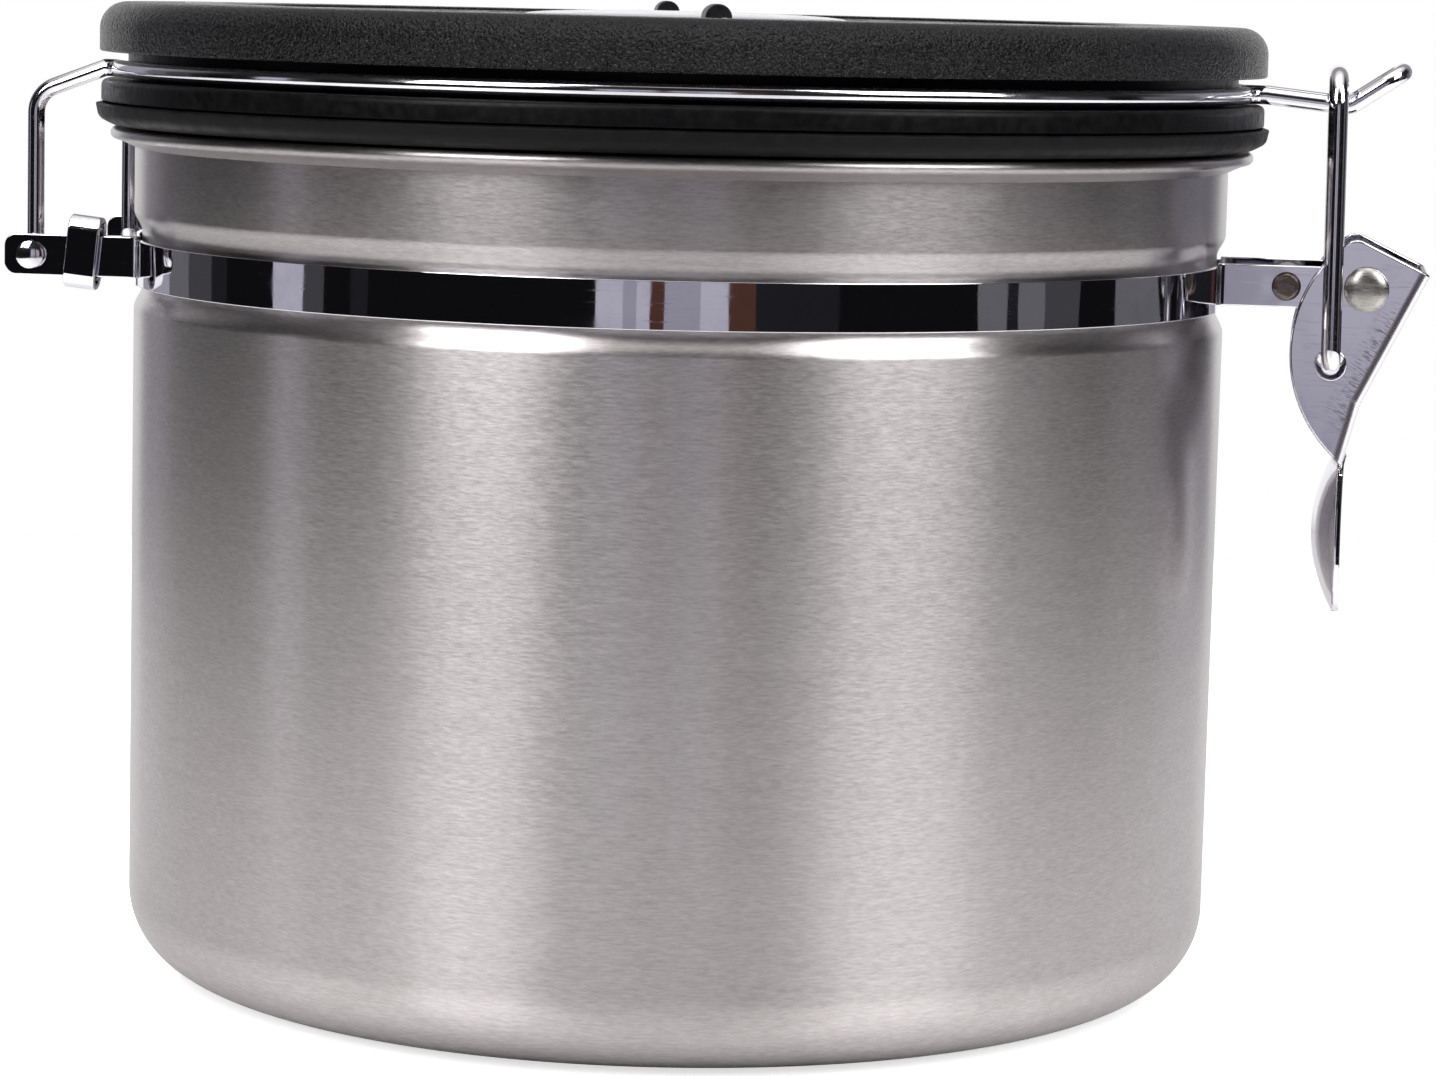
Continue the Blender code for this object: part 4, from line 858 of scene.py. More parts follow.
# Where the painted shade lines along the folds begin, are full and fade out.
FOLD_SHADE_INNER = 1.6
FOLD_SHADE_FULL = 1.2
FOLD_SHADE_FADE = 0.0004
CHEEK_START = 0.45
CHEEK_FULL = 0.75
THUMB_LENGTH = 0.0180
THUMB_HALF_WIDTH = 0.0083
THUMB_DISH = 0.0026
THUMB_ROOT = 0.0012
THUMB_WIDTHS = (
    (0.0, 0.80),
    (0.14, 0.86),
    (0.32, 0.94),
    (0.52, 1.0),
    (0.70, 1.0),
    (0.84, 0.92),
    (0.94, 0.74),
    (1.0, 0.46),
)
THUMB_COLUMNS = 28
THUMB_ROWS = 40


def on_lever(shares):
    """A point beside the pivot, in x and height, from shares of the lever's drop."""
    return Vector((shares[0] * LEVER_DROP, shares[1] * LEVER_DROP, 0))


def arc_through(first, middle, last, count):
    """Points on the arc through three points, both ends included."""
    chord_a = middle - first
    chord_b = last - first
    twice_area = 2 * (chord_a.x * chord_b.y - chord_a.y * chord_b.x)
    square_a, square_b = chord_a.length_squared, chord_b.length_squared
    centre = first + Vector((
        (chord_b.y * square_a - chord_a.y * square_b) / twice_area,
        (chord_a.x * square_b - chord_b.x * square_a) / twice_area,
    ))
    start = math.degrees(math.atan2((first - centre).y, (first - centre).x)) % 360
    end = math.degrees(math.atan2((last - centre).y, (last - centre).x)) % 360
    return arc(centre, (first - centre).length, start, end, count)


def cheek_outline():
    """The folded lever seen from the front, about its pivot."""
    brow, belly, heel = (on_lever(shares) for shares in (CHEEK_SHOULDER, CHEEK_BELLY, CHEEK_HEEL))
    nose = [tuple(point.xy) for point in bend(on_lever(WEB_TOP), on_lever(CHEEK_TOP), brow, LEVER_NOSE, 8)]
    edge = arc_through(brow.xy, belly.xy, heel.xy, 36)
    return nose + edge + [tuple(on_lever(shares).xy) for shares in (NECK, WEB_KNEE, WEB_TOP)]


def well_outline():
    """The hollow between the cheeks: one sheet inside the web, open at the top and towards the can."""
    top, knee, neck = (on_lever(shares) for shares in (WEB_TOP, WEB_KNEE, NECK))
    upper = (top - knee).normalized()
    under = (knee - neck).normalized()
    upper_in = Vector((-upper.y, upper.x, 0))
    under_in = Vector((-under.y, under.x, 0))
    above = top + upper * LEVER_DROP + upper_in * LEVER_SHEET
    inner_knee = knee + (upper_in + under_in).normalized() * LEVER_SHEET
    floor = WELL_FLOOR * LEVER_DROP
    corner = inner_knee + under * ((floor - inner_knee.y) / under.y)
    return [above.xy, inner_knee.xy, corner.xy, (-LEVER_DROP, floor), (-LEVER_DROP, above.y)]


def round_folds(mesh):
    """Round the outer edges where the cheeks are folded from the web."""
    spots = [on_lever(shares).xy for shares in (WEB_TOP, WEB_KNEE, NECK)]
    with edited(mesh) as work:
        bmesh.ops.dissolve_limit(work, angle_limit=math.radians(0.5), verts=work.verts, edges=work.edges)
        folds = []
        for edge in work.edges:
            flat = abs(edge.verts[0].co.z - edge.verts[1].co.z) < SAME_PLACE
            on_web = all(min((v.co.xy - spot).length for spot in spots) < SAME_PLACE for v in edge.verts)
            if flat and on_web:
                folds.append(edge)
        bmesh.ops.bevel(work, geom=folds, offset=LEVER_FOLD, segments=8, profile=0.5, affect="EDGES")


def thumb_width(down_share):
    """The tab's half width, as a share, eased between the widths given down its length."""
    for (low, first), (high, last) in zip(THUMB_WIDTHS, THUMB_WIDTHS[1:]):
        if down_share <= high:
            share = (down_share - low) / (high - low)
            return first + (last - first) * share
    return THUMB_WIDTHS[-1][1]


def thumb_tab():
    """A dished leaf below the neck, thickened from an open sheet."""
    neck = on_lever(NECK)
    points, faces = [], []
    for row in range(THUMB_ROWS + 1):
        down_share = 1 - (1 - row / THUMB_ROWS) ** 1.3
        for column in range(THUMB_COLUMNS + 1):
            across_share = 2 * column / THUMB_COLUMNS - 1
            dish_share = max(0, math.sin(math.pi * down_share)) ** 0.8 * (1 - across_share ** 2)
            y = across_share * thumb_width(down_share) * THUMB_HALF_WIDTH
            height = neck.y + THUMB_ROOT - down_share * THUMB_LENGTH
            points.append((neck.x - THUMB_DISH * dish_share, y, height))
    wide = THUMB_COLUMNS + 1
    for row in range(THUMB_ROWS):
        for column in range(THUMB_COLUMNS):
            first = row * wide + column
            faces.append((first, first + 1, first + 1 + wide, first + wide))
    mesh = bpy.data.meshes.new("thumb_sheet")
    mesh.from_pydata(points, [], faces)
    tab = add_object("thumb_sheet", mesh)
    tab.location = PIVOT_PLACE
    sheet = tab.modifiers.new("sheet", "SOLIDIFY")
    sheet.thickness = LEVER_SHEET
    sheet.offset = 0
    return as_mesh(tab)


blank = plate("folded_lever", [cheek_outline()], 2 * LEVER_OUTER)
round_folds(blank.data)
blank.data.transform(Matrix.Translation(PIVOT_PLACE) @ Matrix.Rotation(math.pi / 2, 4, "X"))
well = plate("well_tool", [well_outline()], 2 * LEVER_INNER, PIVOT_PLACE, UPRIGHT)
lever = carve(blank, well)
lever = carve(lever, thumb_tab(), operation="UNION")
LOOP_PLACE = PIVOT_PLACE + on_lever(LOOP_SHARES).xzy
pivot_drill = pin_tool(PIVOT_PLACE, PIVOT_SHANK + GAP, LEVER_DRILL)
lever = carve(lever, pivot_drill, pin_tool(LOOP_PLACE, LOOP_HOLE, LEVER_DRILL))
soften(lever, LEVER_EASE, 3)
lever_plating, tree, shader, surface = surface_material(
    "plated_lever_sheet", plated, 1.0, Smooth=0.05, Rough=0.10, Waviness=0.04, Scratches=0.012
)
spot = object_place(tree)
fold_top, fold_knee, fold_end = (PIVOT_PLACE + on_lever(shares).xzy for shares in (WEB_TOP, WEB_KNEE, NECK))


def along_and_across(start, end):
    """How far up a fold a spot lies, and how far outside it, both from the fold's lower end."""
    way = (start - end).normalized()
    from_end = vector_maths(tree, "SUBTRACT", {0: spot, 1: end})
    lines = (way, Vector((way.z, 0, -way.x)))
    return [vector_maths(tree, "DOT_PRODUCT", {0: from_end, 1: line}, "Value") for line in lines]


def painted_fold_shade(along, across):
    """The painted shade line on a fold's rounding, and where the cheek inside of it ends."""
    inner = spread(tree, across, -FOLD_SHADE_INNER * LEVER_FOLD, -FOLD_SHADE_FULL * LEVER_FOLD)
    cheek = spread(tree, across, -CHEEK_START * LEVER_FOLD, -CHEEK_FULL * LEVER_FOLD)
    return product(tree, inner, cheek, spread(tree, along, -FOLD_SHADE_FADE, FOLD_SHADE_FADE)), cheek


along, across = along_and_across(fold_top, fold_knee)
upper_fold_shade, on_cheek = painted_fold_shade(along, across)
lower_fold_shade, _ = painted_fold_shade(*along_and_across(fold_knee, fold_end))
lower_fold_shade = product(tree, lower_fold_shade, spread(tree, along, *KNEE_SPAN))
stroke_place = {
    0: product(tree, along, SCUFF_COUNT),
    1: product(tree, across, SCUFF_COUNT / SCUFF_STRETCH),
}
stroke_place = add_node(tree, "CombineXYZ", stroke_place).outputs[0]
strokes = spread(tree, noise(tree, stroke_place, 1.0, 2.0), 0.50, 0.66)
near_fold = product(tree, on_cheek, spread(tree, across, -SCUFF_REACH, -LEVER_FOLD))
down_fold = product(tree, spread(tree, along, SCUFF_TOP, SCUFF_FULL), spread(tree, along, *SCUFF_FOOT))
scuffs = product(tree, strokes, product(tree, near_fold, down_fold))
# The scuffs are wear; the dark lines on both folds' rounding are painted shade.
scuffs_and_fold_shade = maths(tree, "MAXIMUM", scuffs, maths(tree, "MAXIMUM", upper_fold_shade, lower_fold_shade))
scuffed_and_shaded = blend_colours(tree, product(tree, scuffs_and_fold_shade, SCUFF_AND_SHADE_COVER), surface["Colour"], SCUFF_AND_FOLD_SHADE_DARK)
rubbed = maths(tree, "MULTIPLY_ADD", scuffs_and_fold_shade, MARK_ROUGHNESS, surface["Roughness"])
tree.links.new(scuffed_and_shaded, shader.inputs["Base Color"])
tree.links.new(rubbed, shader.inputs["Roughness"])
lever.data.materials.append(lever_plating)
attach(lever, "latch_lever")
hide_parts("latch_lever")


# Latch loop. A plated wire stirrup whose two feet turn in the holes of the lever's cheeks.
# Its top bar pulls the bail's hook down.
LOOP_LEG = LEVER_OUTER + GAP + PIVOT_HEAD_HEIGHT + GAP + LOOP_RADIUS
LOOP_TAIL = 0.0010
LOOP_TOP_BEND = 0.0035
LOOP_FOOT_BEND = 0.0020
LOOP_LEAN = 0.0003
LATCH_PLAY = 0.0013
RING_HEIGHT = 0.10195
HOOK_DROP = 0.00095
HOOK_HEIGHT = RING_HEIGHT - HOOK_DROP


def wire(name, points, radius, swell=None):
    """A round wire along points; swell widens it at the points that it names."""
    curve = bpy.data.curves.new(name, "CURVE")
    curve.dimensions = "3D"
    curve.bevel_depth = radius
    curve.bevel_resolution = 8
    curve.use_fill_caps = True
    spline = add_run(curve, points)
    for index, share in (swell or {}).items():
        spline.points[index].radius = share
    spline.use_smooth = True
    item = as_mesh(add_object(name, curve))
    item.data.shade_smooth()
    item.data.set_sharp_from_angle(angle=math.radians(50))
    return item


wire_plating, *_ = surface_material(
    "mirror_plated_wire", plated, 1.0, Smooth=0.09, Rough=0.14, Waviness=0.05, Scratches=0.01
)
rise = HOOK_HEIGHT + BAIL_RADIUS + LATCH_PLAY + LOOP_RADIUS - LOOP_PLACE.z
tail = Vector((0, -(LEVER_INNER - LOOP_TAIL), 0))
foot = Vector((0, -LOOP_LEG, 0))
top = Vector((-LOOP_LEAN, -LOOP_LEG, rise))
half = [tail] + bend(tail, foot, top, LOOP_FOOT_BEND, 12)
half += bend(foot, top, Vector((-LOOP_LEAN, 0, rise)), LOOP_TOP_BEND, 16)
loop = wire("wire_stirrup", [LOOP_PLACE + point for point in mirrored(half)], LOOP_RADIUS)
loop.data.materials.append(wire_plating)
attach(loop, "latch_loop")
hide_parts("latch_loop")


# Bail. One plated wire with a peened pin in each ear, two legs, a ring in the lid's groove and a
# hook over the latch.
RING_RADIUS = 0.06405
LID_RADIUS = 0.0660
PIN_HEAD_HEIGHT = 0.0008
PIN_HEAD_EDGE = 0.0002
PIN_HEAD_STEP = 0.0001
PIN_SWELL = {0: 1.15, 1: 1.6, 2: 1.6}
PIN_BEND = 0.0010
LEG_BEND = 0.0022
ARM_CLIMB = 0.0030
ARM_INSET = 0.0014
RING_ENTRY = 0.0012
HOOK_OFFSET = 0.0055
HOOK_EXIT = 0.0016
HOOK_REACH = 0.0092
HOOK_BEND = 0.0008
HOOK_TIP_REACH = 0.0150
HOOK_TIP_RISE = 0.0039
HOOK_TIP_BEND = 0.0025


def bail_half():
    """The front half of the bail's route, from the head of its pin to the tip of the hook."""
    x, z = HINGE_PLACE.x, HINGE_PLACE.z
    head = EAR_OUTER + GAP
    head_end = head + PIN_HEAD_HEIGHT
    entry_x, entry_leave, entry_run = circle_exit(RING_RADIUS, LEG_OFFSET, RING_ENTRY)
    exit_x, exit_leave, exit_run = circle_exit(RING_RADIUS, HOOK_OFFSET, HOOK_EXIT)
    foot = Vector((x, -LEG_OFFSET, z))
    knee = Vector((x, -LEG_OFFSET, RING_HEIGHT - ARM_CLIMB))
    landing = Vector((-entry_x - ARM_INSET, -LEG_OFFSET, RING_HEIGHT))
    entry = Vector((-entry_x, -LEG_OFFSET, RING_HEIGHT))
    leaving = Vector((exit_x, -HOOK_OFFSET, RING_HEIGHT))
    lip = Vector((LID_RADIUS, -HOOK_OFFSET, RING_HEIGHT))
    crook = Vector((LID_RADIUS + HOOK_REACH, -HOOK_OFFSET, HOOK_HEIGHT))
    tip = Vector((LID_RADIUS + HOOK_TIP_REACH, -HOOK_OFFSET, HOOK_HEIGHT + HOOK_TIP_RISE))
    around = round_run(RING_RADIUS, math.pi + entry_leave, 2 * math.pi - exit_leave, RING_HEIGHT, 110)
    route = [Vector((x, -y, z)) for y in (head_end, head_end - PIN_HEAD_EDGE, head, head - PIN_HEAD_STEP)]
    route += bend(route[-1], foot, knee, PIN_BEND, 8)
    route += bend(foot, knee, landing, LEG_BEND, 14)
    route.append(landing)
    route += bend(landing, entry, around[0], entry_run, 6)[:-1]
    route += around
    route += bend(around[-1], leaving, lip, exit_run, 10)[1:]
    route.append(lip)
    route += bend(lip, crook, tip, HOOK_BEND, 8)
    return route + bend(crook, tip, Vector((tip.x, 0, tip.z)), HOOK_TIP_BEND, 14)


route = mirrored(bail_half())
swell = dict(PIN_SWELL)
swell.update({len(route) - 1 - index: share for index, share in PIN_SWELL.items()})
bail = wire("bail_and_hook", route, BAIL_RADIUS, swell)
bail.data.materials.append(wire_plating)
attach(bail, "lid")
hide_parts("bail_wire")


# Lid base. Smooth black plastic with a skirt, a neck for the bail's ring and a plug that drops
# into the can.
LID_TOP = RIM_HEIGHT + 0.0139
SKIRT_TOP = RIM_HEIGHT + 0.0053
CAP_WALL = 0.0018
NECK_RADIUS = 0.0628
SKIRT_RADIUS = 0.0658
SKIRT_ROUND = 0.0008
GASKET_SEAT = RIM_HEIGHT + 0.0029
PLUG_RADIUS = 0.0582
PLUG_TAPER = 0.0016
PLUG_WALL = 0.0018
PLUG_BOTTOM = RIM_HEIGHT - 0.0028
PLUG_TOP = PLUG_BOTTOM + PLUG_WALL
BARREL_RADIUS = 0.0110
BLACK_PLASTIC = (0.0018, 0.0018, 0.0022, 1)
BLACK_WORN = (0.0036, 0.0036, 0.0042, 1)
PLASTIC_SHINE = 0.13
GRAIN_HEIGHT = 0.0004


def eased(corners, count=6):
    """A closed outline whose corners, given with the ease of each, are rounded over that ease."""
    points = []
    for index, (x, y, ease) in enumerate(corners):
        here = Vector((x, y))
        if not ease:
            points.append((x, y))
            continue
        before = Vector(corners[index - 1][:2])
        after = Vector(corners[(index + 1) % len(corners)][:2])
        start = here + (before - here).normalized() * ease
        end = here + (after - here).normalized() * ease
        for share in evenly(0, 1, count):
            point = start * (1 - share) ** 2 + here * 2 * share * (1 - share) + end * share ** 2
            points.append(tuple(point))
    return points


moulded, given = new_surface(
    "moulded_plastic",
    Clean=BLACK_PLASTIC,
    Worn=BLACK_WORN,
    Grain_Count=1500.0,
    Grain_Depth=0.10,
    Smooth=0.34,
    Rough=0.48,
)
spot = object_place(moulded)
cells = noise(moulded, spot, given["Grain Count"], 1.0, 0.55)
clouds = noise(moulded, spot, 90.0, 3.0, 0.6)
mottling = maths(moulded, "MULTIPLY_ADD", clouds, 0.3, product(moulded, cells, 0.7))
tone = spread(moulded, mottling, 0.42, 0.68)
colour = blend_colours(moulded, tone, given["Clean"], given["Worn"])
gloss = spread(moulded, tone, 0.0, 1.0, given["Smooth"], given["Rough"])
bump = {"Strength": given["Grain Depth"], "Distance": GRAIN_HEIGHT, "Height": cells}
close_surface(moulded, colour, gloss, add_node(moulded, "Bump", bump).outputs[0])


def plastic_material(name, shine=PLASTIC_SHINE, **values):
    """Moulded plastic or rubber with its own values for the shared surface."""
    material, _, shader, _ = surface_material(name, moulded, **values)
    shader.inputs["Specular IOR Level"].default_value = shine
    return material


smooth_black = plastic_material("smooth_black_plastic", Grain_Depth=0.06, Grain_Count=900.0)
plug_foot = PLUG_RADIUS - PLUG_TAPER
neck_top = LID_TOP - CAP_WALL - GAP
inner_seat = GASKET_SEAT + PLUG_WALL
base_outline = [
    (NECK_RADIUS, neck_top, 0),
    (NECK_RADIUS, SKIRT_TOP, 0.0003),
    (SKIRT_RADIUS, SKIRT_TOP, SKIRT_ROUND),
    (SKIRT_RADIUS, GASKET_SEAT, 0.0002),
    (PLUG_RADIUS, GASKET_SEAT, 0.0003),
    (plug_foot, PLUG_BOTTOM, 0.0008),
    (BARREL_RADIUS + GAP, PLUG_BOTTOM, 0.0003),
    (BARREL_RADIUS + GAP, PLUG_TOP, 0.0002),
    (plug_foot - PLUG_WALL, PLUG_TOP, 0.0004),
    (PLUG_RADIUS - PLUG_WALL, inner_seat, 0.0004),
    (NECK_RADIUS - PLUG_WALL, inner_seat, 0),
    (NECK_RADIUS - PLUG_WALL, neck_top, 0),
]
base = spun("lid_base_moulding", eased(base_outline), closed=True)
base.data.materials.append(smooth_black)
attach(base, "lid")
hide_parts("lid_base")


# Gasket. Dark grey silicone with a flared lip that stands out below the skirt. The lip is soft,
# so it isn't quite even.
GASKET_LIP = 0.0664
GASKET_FOOT = 0.0646
GASKET_INSET = 0.0004
GASKET_BULGE = 0.0003
GASKET_GAP = 0.0001
GASKET_WAVE = 0.00010
GASKET_GREY = (0.0035, 0.0036, 0.0042, 1)
GASKET_PALE = (0.0065, 0.0066, 0.0078, 1)

gasket_top = GASKET_SEAT - GASKET_GAP
gasket_foot = RIM_HEIGHT + GAP
gasket_outline = [
    (PLUG_RADIUS + GAP, gasket_top, 0.0003),
    (SKIRT_RADIUS - GASKET_INSET, gasket_top, 0.0002),
    (GASKET_LIP, gasket_top - 0.0002, 0.0001),
    (GASKET_LIP - GASKET_BULGE, gasket_top - 0.0017, 0.0006),
    (GASKET_FOOT, gasket_foot, 0.0003),
    (PLUG_RADIUS + GAP, gasket_foot, 0.0003),
]
gasket = spun("silicone_gasket", eased(gasket_outline), closed=True, steps=384)
for vertex in gasket.data.vertices:
    radius = vertex.co.xy.length
    turn_angle = math.atan2(vertex.co.y, vertex.co.x)
    loose = max(0, (radius - GASKET_FOOT) / (GASKET_LIP - GASKET_FOOT))
    wave = math.sin(turn_angle * 31) + math.sin(turn_angle * 53 + 1.3) + math.sin(turn_angle * 87 + 0.4)
    vertex.co.z -= GASKET_WAVE * loose * (1 + wave / 3) / 2
gasket_rubber = plastic_material(
    "dark_silicone", Clean=GASKET_GREY, Worn=GASKET_PALE,
    Grain_Depth=0.12, Grain_Count=500.0, Smooth=0.45, Rough=0.62
)
gasket.data.materials.append(gasket_rubber)
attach(gasket, "lid")
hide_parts("lid_gasket")


# Cap. Black plastic with a fine leathery grain, a rounded edge and a sunk floor for the dials.
# It is screwed to the base from below.
CAP_ROUND = 0.0030
CAP_EDGE = LID_TOP - 0.0055
DIAL_RECESS = 0.0504
DIAL_FLOOR = LID_TOP - 0.0027
VENT_RADIUS = 0.0140
CAP_BLACK = (0.0015, 0.0015, 0.0018, 1)
CAP_WORN = (0.0105, 0.0105, 0.0122, 1)
CAP_SHINE = 0.19

cap_bore = NECK_RADIUS + GAP
shelf = LID_TOP - CAP_WALL
floor_below = DIAL_FLOOR - CAP_WALL
cap_profile = arc((LID_RADIUS - CAP_ROUND, LID_TOP - CAP_ROUND), CAP_ROUND, 90, 0, 20)
cap_outline = [(DIAL_RECESS, LID_TOP, 0.0003)]
cap_outline += [(radius, height, 0) for radius, height in cap_profile]
cap_outline += [
    (LID_RADIUS, CAP_EDGE, 0.0003),
    (cap_bore, CAP_EDGE, 0),
    (cap_bore, shelf, 0),
    (DIAL_RECESS + CAP_WALL, shelf, 0),
    (DIAL_RECESS + CAP_WALL, floor_below, 0),
    (VENT_RADIUS, floor_below, 0),
    (VENT_RADIUS, DIAL_FLOOR, 0),
    (DIAL_RECESS, DIAL_FLOOR, 0),
]
cap = spun("grained_cap", eased(cap_outline), closed=True)
grained = {"Grain_Count": 2900.0, "Grain_Depth": 1.0, "Smooth": 0.18, "Rough": 0.30}
grained = plastic_material("grained_black_plastic", CAP_SHINE, Clean=CAP_BLACK, Worn=CAP_WORN, **grained)
cap.data.materials.append(grained)
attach(cap, "lid")
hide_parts("lid_cap")


# Dials. The day ring turns round the month ring, and the hub holds both down. Each ring has a
# low fin to turn it by, which points at the plain numbers printed beside it.
DAY_BORE = 0.0410
MONTH_BORE = 0.0317
DAY_LEDGE = 0.0025
MONTH_LEDGE = 0.0032
HUB_BORE = 0.0186
HUB_WALL = 0.0022
DIAL_SEAT = DIAL_FLOOR + GAP
DIAL_TOP = LID_TOP - 0.0003
LEDGE_TOP = DIAL_SEAT + 0.0007
LIP_BELOW = LEDGE_TOP + GAP
KNOB_WIDTH = 0.0028
KNOB_LENGTH = 0.0060
KNOB_RISE = 0.0017
KNOB_ROOT = 0.0005
DIAL_EASE = 0.00015
DIAL_ROUND = 0.0002
DAY_KNOB_CIRCLE = 0.0450
MONTH_KNOB_CIRCLE = 0.0347
DAY_KNOB_ANGLE = math.radians(-77.9)
MONTH_KNOB_ANGLE = math.radians(101.8)
DAY_NUMBER_CIRCLE = 0.0553
MONTH_NUMBER_CIRCLE = 0.0272
NUMBER_SIZE = 0.0040
NUMBER_RELIEF = 0.00006
DIAL_BLACK = (0.010, 0.010, 0.011, 1)
DIAL_WORN = (0.018, 0.018, 0.020, 1)
NUMBER_GREY = (0.45, 0.45, 0.46, 1)
NUMBER_WORN = (0.36, 0.36, 0.37, 1)


def dial_outline(bore, foot_bore, ledge, reach, overlap):
    """A dial in section: its face, which overlaps its neighbour's ledge, and its foot below that."""
    neighbour = [(reach, LIP_BELOW, 0), (reach - overlap, LIP_BELOW, 0)] if overlap else []
    face = [(bore, DIAL_TOP, DIAL_ROUND), (reach, DIAL_TOP, DIAL_ROUND)] + neighbour
    foot = [(reach - overlap, DIAL_SEAT, 0), (foot_bore, DIAL_SEAT, 0)]
    return face + foot + [(foot_bore, ledge, 0), (bore, ledge, 0)]


def with_knob(ring, circle, angle):
    """Join a low round-topped fin that lies along the radius to a ring."""
    half = KNOB_WIDTH / 2
    foot = DIAL_TOP - KNOB_ROOT
    outline = [(-half, foot), (half, foot)] + arc((0, DIAL_TOP + KNOB_RISE - half), half, 0, 180, 20)
    turned = (math.pi / 2, 0, angle + math.pi / 2)
    knob = plate("knob_tool", [outline], KNOB_LENGTH, around_axis(circle, angle), turned)
    return carve(ring, knob, operation="UNION")


def numbers(name, count, circle, first_angle, body):
    """Plain numbers round a circle, clockwise from first_angle, as one thin raised print."""
    work = bmesh.new()
    for index in range(count):
        text = bpy.data.curves.new(name, "FONT")
        text.body = str(index + 1)
        text.size = NUMBER_SIZE
        text.align_x = "CENTER"
        text.align_y = "CENTER"
        text.extrude = NUMBER_RELIEF / 2
        text.resolution_u = 4
        item = add_object(name, text)
        angle = first_angle - 2 * math.pi * index / count
        item.rotation_euler = (0, 0, angle - math.pi / 2)
        item.location = around_axis(circle, angle)
        item = as_mesh(item)
        work.from_mesh(item.data)
        bpy.data.objects.remove(item, do_unlink=True)
    mesh = bpy.data.meshes.new(name)
    work.to_mesh(mesh)
    work.free()
    piece = add_object(name, mesh)
    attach(piece, body)
    return piece


dial_plastic = plastic_material(
    "dial_grey_plastic", Clean=DIAL_BLACK, Worn=DIAL_WORN,
    Grain_Count=1400.0, Grain_Depth=0.15, Smooth=0.32, Rough=0.44
)
day_outline = dial_outline(DAY_BORE, DAY_BORE - DAY_LEDGE, LEDGE_TOP, DIAL_RECESS - GAP, 0)
day = spun("day_dial", eased(day_outline, 3), closed=True)
day = with_knob(day, DAY_KNOB_CIRCLE, DAY_KNOB_ANGLE)
soften(day, DIAL_EASE)
day.data.materials.append(dial_plastic)
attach(day, "day_ring")
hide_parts("day_ring")

month_outline = dial_outline(MONTH_BORE, MONTH_BORE - MONTH_LEDGE, LEDGE_TOP, DAY_BORE - GAP, DAY_LEDGE)
month = spun("month_dial", eased(month_outline, 3), closed=True)
month = with_knob(month, MONTH_KNOB_CIRCLE, MONTH_KNOB_ANGLE)
soften(month, DIAL_EASE)
month.data.materials.append(dial_plastic)
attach(month, "month_ring")
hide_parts("month_ring")

hub_inside = MONTH_BORE - MONTH_LEDGE - GAP - HUB_WALL
hub_outline = dial_outline(HUB_BORE, hub_inside, LIP_BELOW, MONTH_BORE - GAP, MONTH_LEDGE)
hub = spun("hub_moulding", eased(hub_outline, 4), closed=True)
hub.data.materials.append(smooth_black)
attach(hub, "lid")
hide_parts("dial_hub")

pale_print = plastic_material(
    "pale_print", Clean=NUMBER_GREY, Worn=NUMBER_WORN,
    Grain_Count=2300.0, Grain_Depth=0.2, Smooth=0.45, Rough=0.6
)
day_numbers = numbers("day_numbers", 31, DAY_NUMBER_CIRCLE, DAY_KNOB_ANGLE, "lid")
day_numbers.data.transform(Matrix.Translation((0, 0, LID_TOP)))
month_numbers = numbers("month_numbers", 12, MONTH_NUMBER_CIRCLE, MONTH_KNOB_ANGLE, "lid")
month_numbers.data.transform(Matrix.Translation((0, 0, DIAL_TOP)))
for printed in (day_numbers, month_numbers):
    printed.data.materials.append(pale_print)


# Valve cover. A glossy pale grey button, slightly domed, in the middle of the dials.
COVER_DOME = 0.0007
COVER_WALL = 0.0012
COVER_LEG_WALL = 0.0015
COVER_LEG_DROP = 0.0029
COVER_GREY = (0.46, 0.46, 0.49, 1)
COVER_WORN = (0.445, 0.445, 0.475, 1)

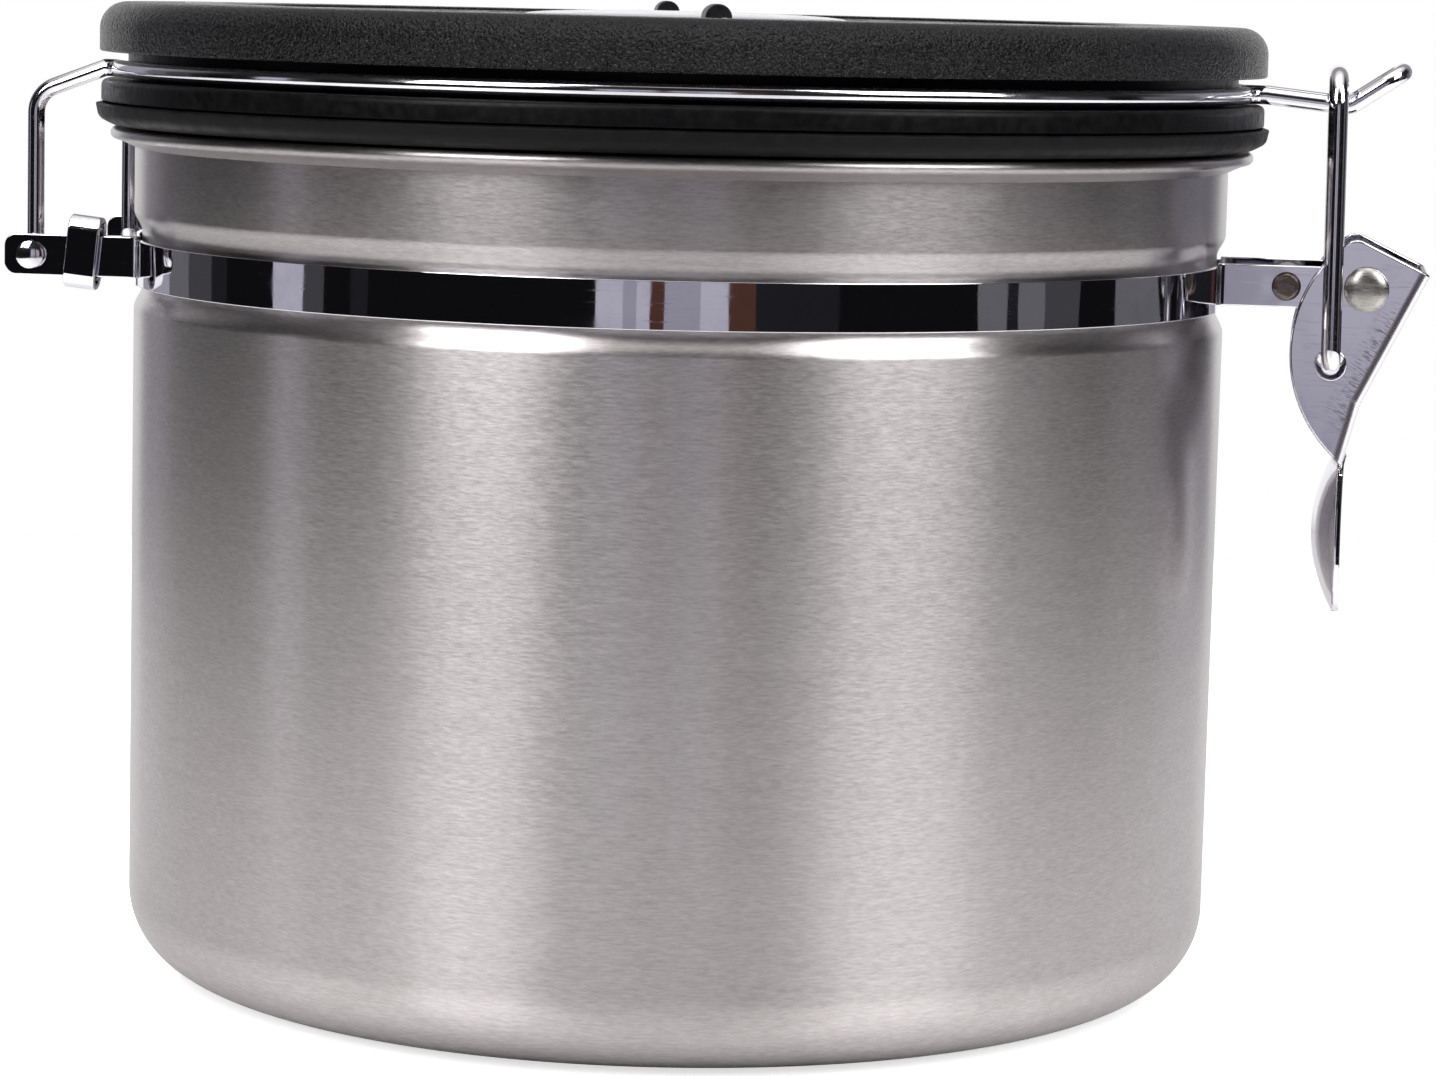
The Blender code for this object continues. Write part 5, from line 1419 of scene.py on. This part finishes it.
cover_radius = HUB_BORE - GAP
leg = VENT_RADIUS - GAP
under = DIAL_TOP - COVER_WALL
cover_foot = DIAL_FLOOR - COVER_LEG_DROP
cover_profile = dome(cover_radius, DIAL_TOP, COVER_DOME, 24) + [
    (cover_radius, DIAL_SEAT),
    (cover_radius - COVER_WALL, DIAL_SEAT),
    (cover_radius - COVER_WALL, under),
    (leg, under),
    (leg, cover_foot),
    (leg - COVER_LEG_WALL, cover_foot),
    (leg - COVER_LEG_WALL, under),
    (0, under),
]
cover = spun("valve_button", cover_profile, steps=128)
glossy = {"Grain_Count": 300.0, "Grain_Depth": 0.02, "Smooth": 0.10, "Rough": 0.20}
glossy = plastic_material("pale_gloss_plastic", Clean=COVER_GREY, Worn=COVER_WORN, **glossy)
cover.data.materials.append(glossy)
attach(cover, "lid")
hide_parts("valve_cover")


# Valve and screws. The barrel, rubber disc, felt and grille under the cover, and the four screws,
# keep their CAD shapes and get their finishes here.
RUBBER_PALE = (0.62, 0.61, 0.58, 1)
RUBBER_WORN = (0.52, 0.51, 0.48, 1)
FELT_WHITE = (0.80, 0.78, 0.73, 1)
FELT_GREY = (0.62, 0.60, 0.55, 1)
SCREW_DARK = (0.30, 0.29, 0.28, 1)
SCREW_LIGHT = (0.55, 0.54, 0.52, 1)
CAD_EASE = 0.00012


def refinish(node, material):
    """Give a CAD node a finish and slightly rounded edges."""
    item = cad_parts[node]
    item.data.materials.clear()
    item.data.materials.append(material)
    ease_edges(item, CAD_EASE)


pale_rubber = plastic_material(
    "pale_silicone", Clean=RUBBER_PALE, Worn=RUBBER_WORN,
    Grain_Count=600.0, Grain_Depth=0.1, Smooth=0.45, Rough=0.6
)
felt = plastic_material(
    "white_felt", Clean=FELT_WHITE, Worn=FELT_GREY,
    Grain_Count=1800.0, Grain_Depth=1.0, Smooth=0.85, Rough=1.0
)
screw_steel = satin_material("plain_screw_steel", SCREW_DARK, SCREW_LIGHT, 0.30)
refinish("valve_body", smooth_black)
refinish("filter_grille", smooth_black)
refinish("valve_disc", pale_rubber)
refinish("valve_filter", felt)
for number in range(4):
    refinish(f"lid_screw_{number + 1}", screw_steel)
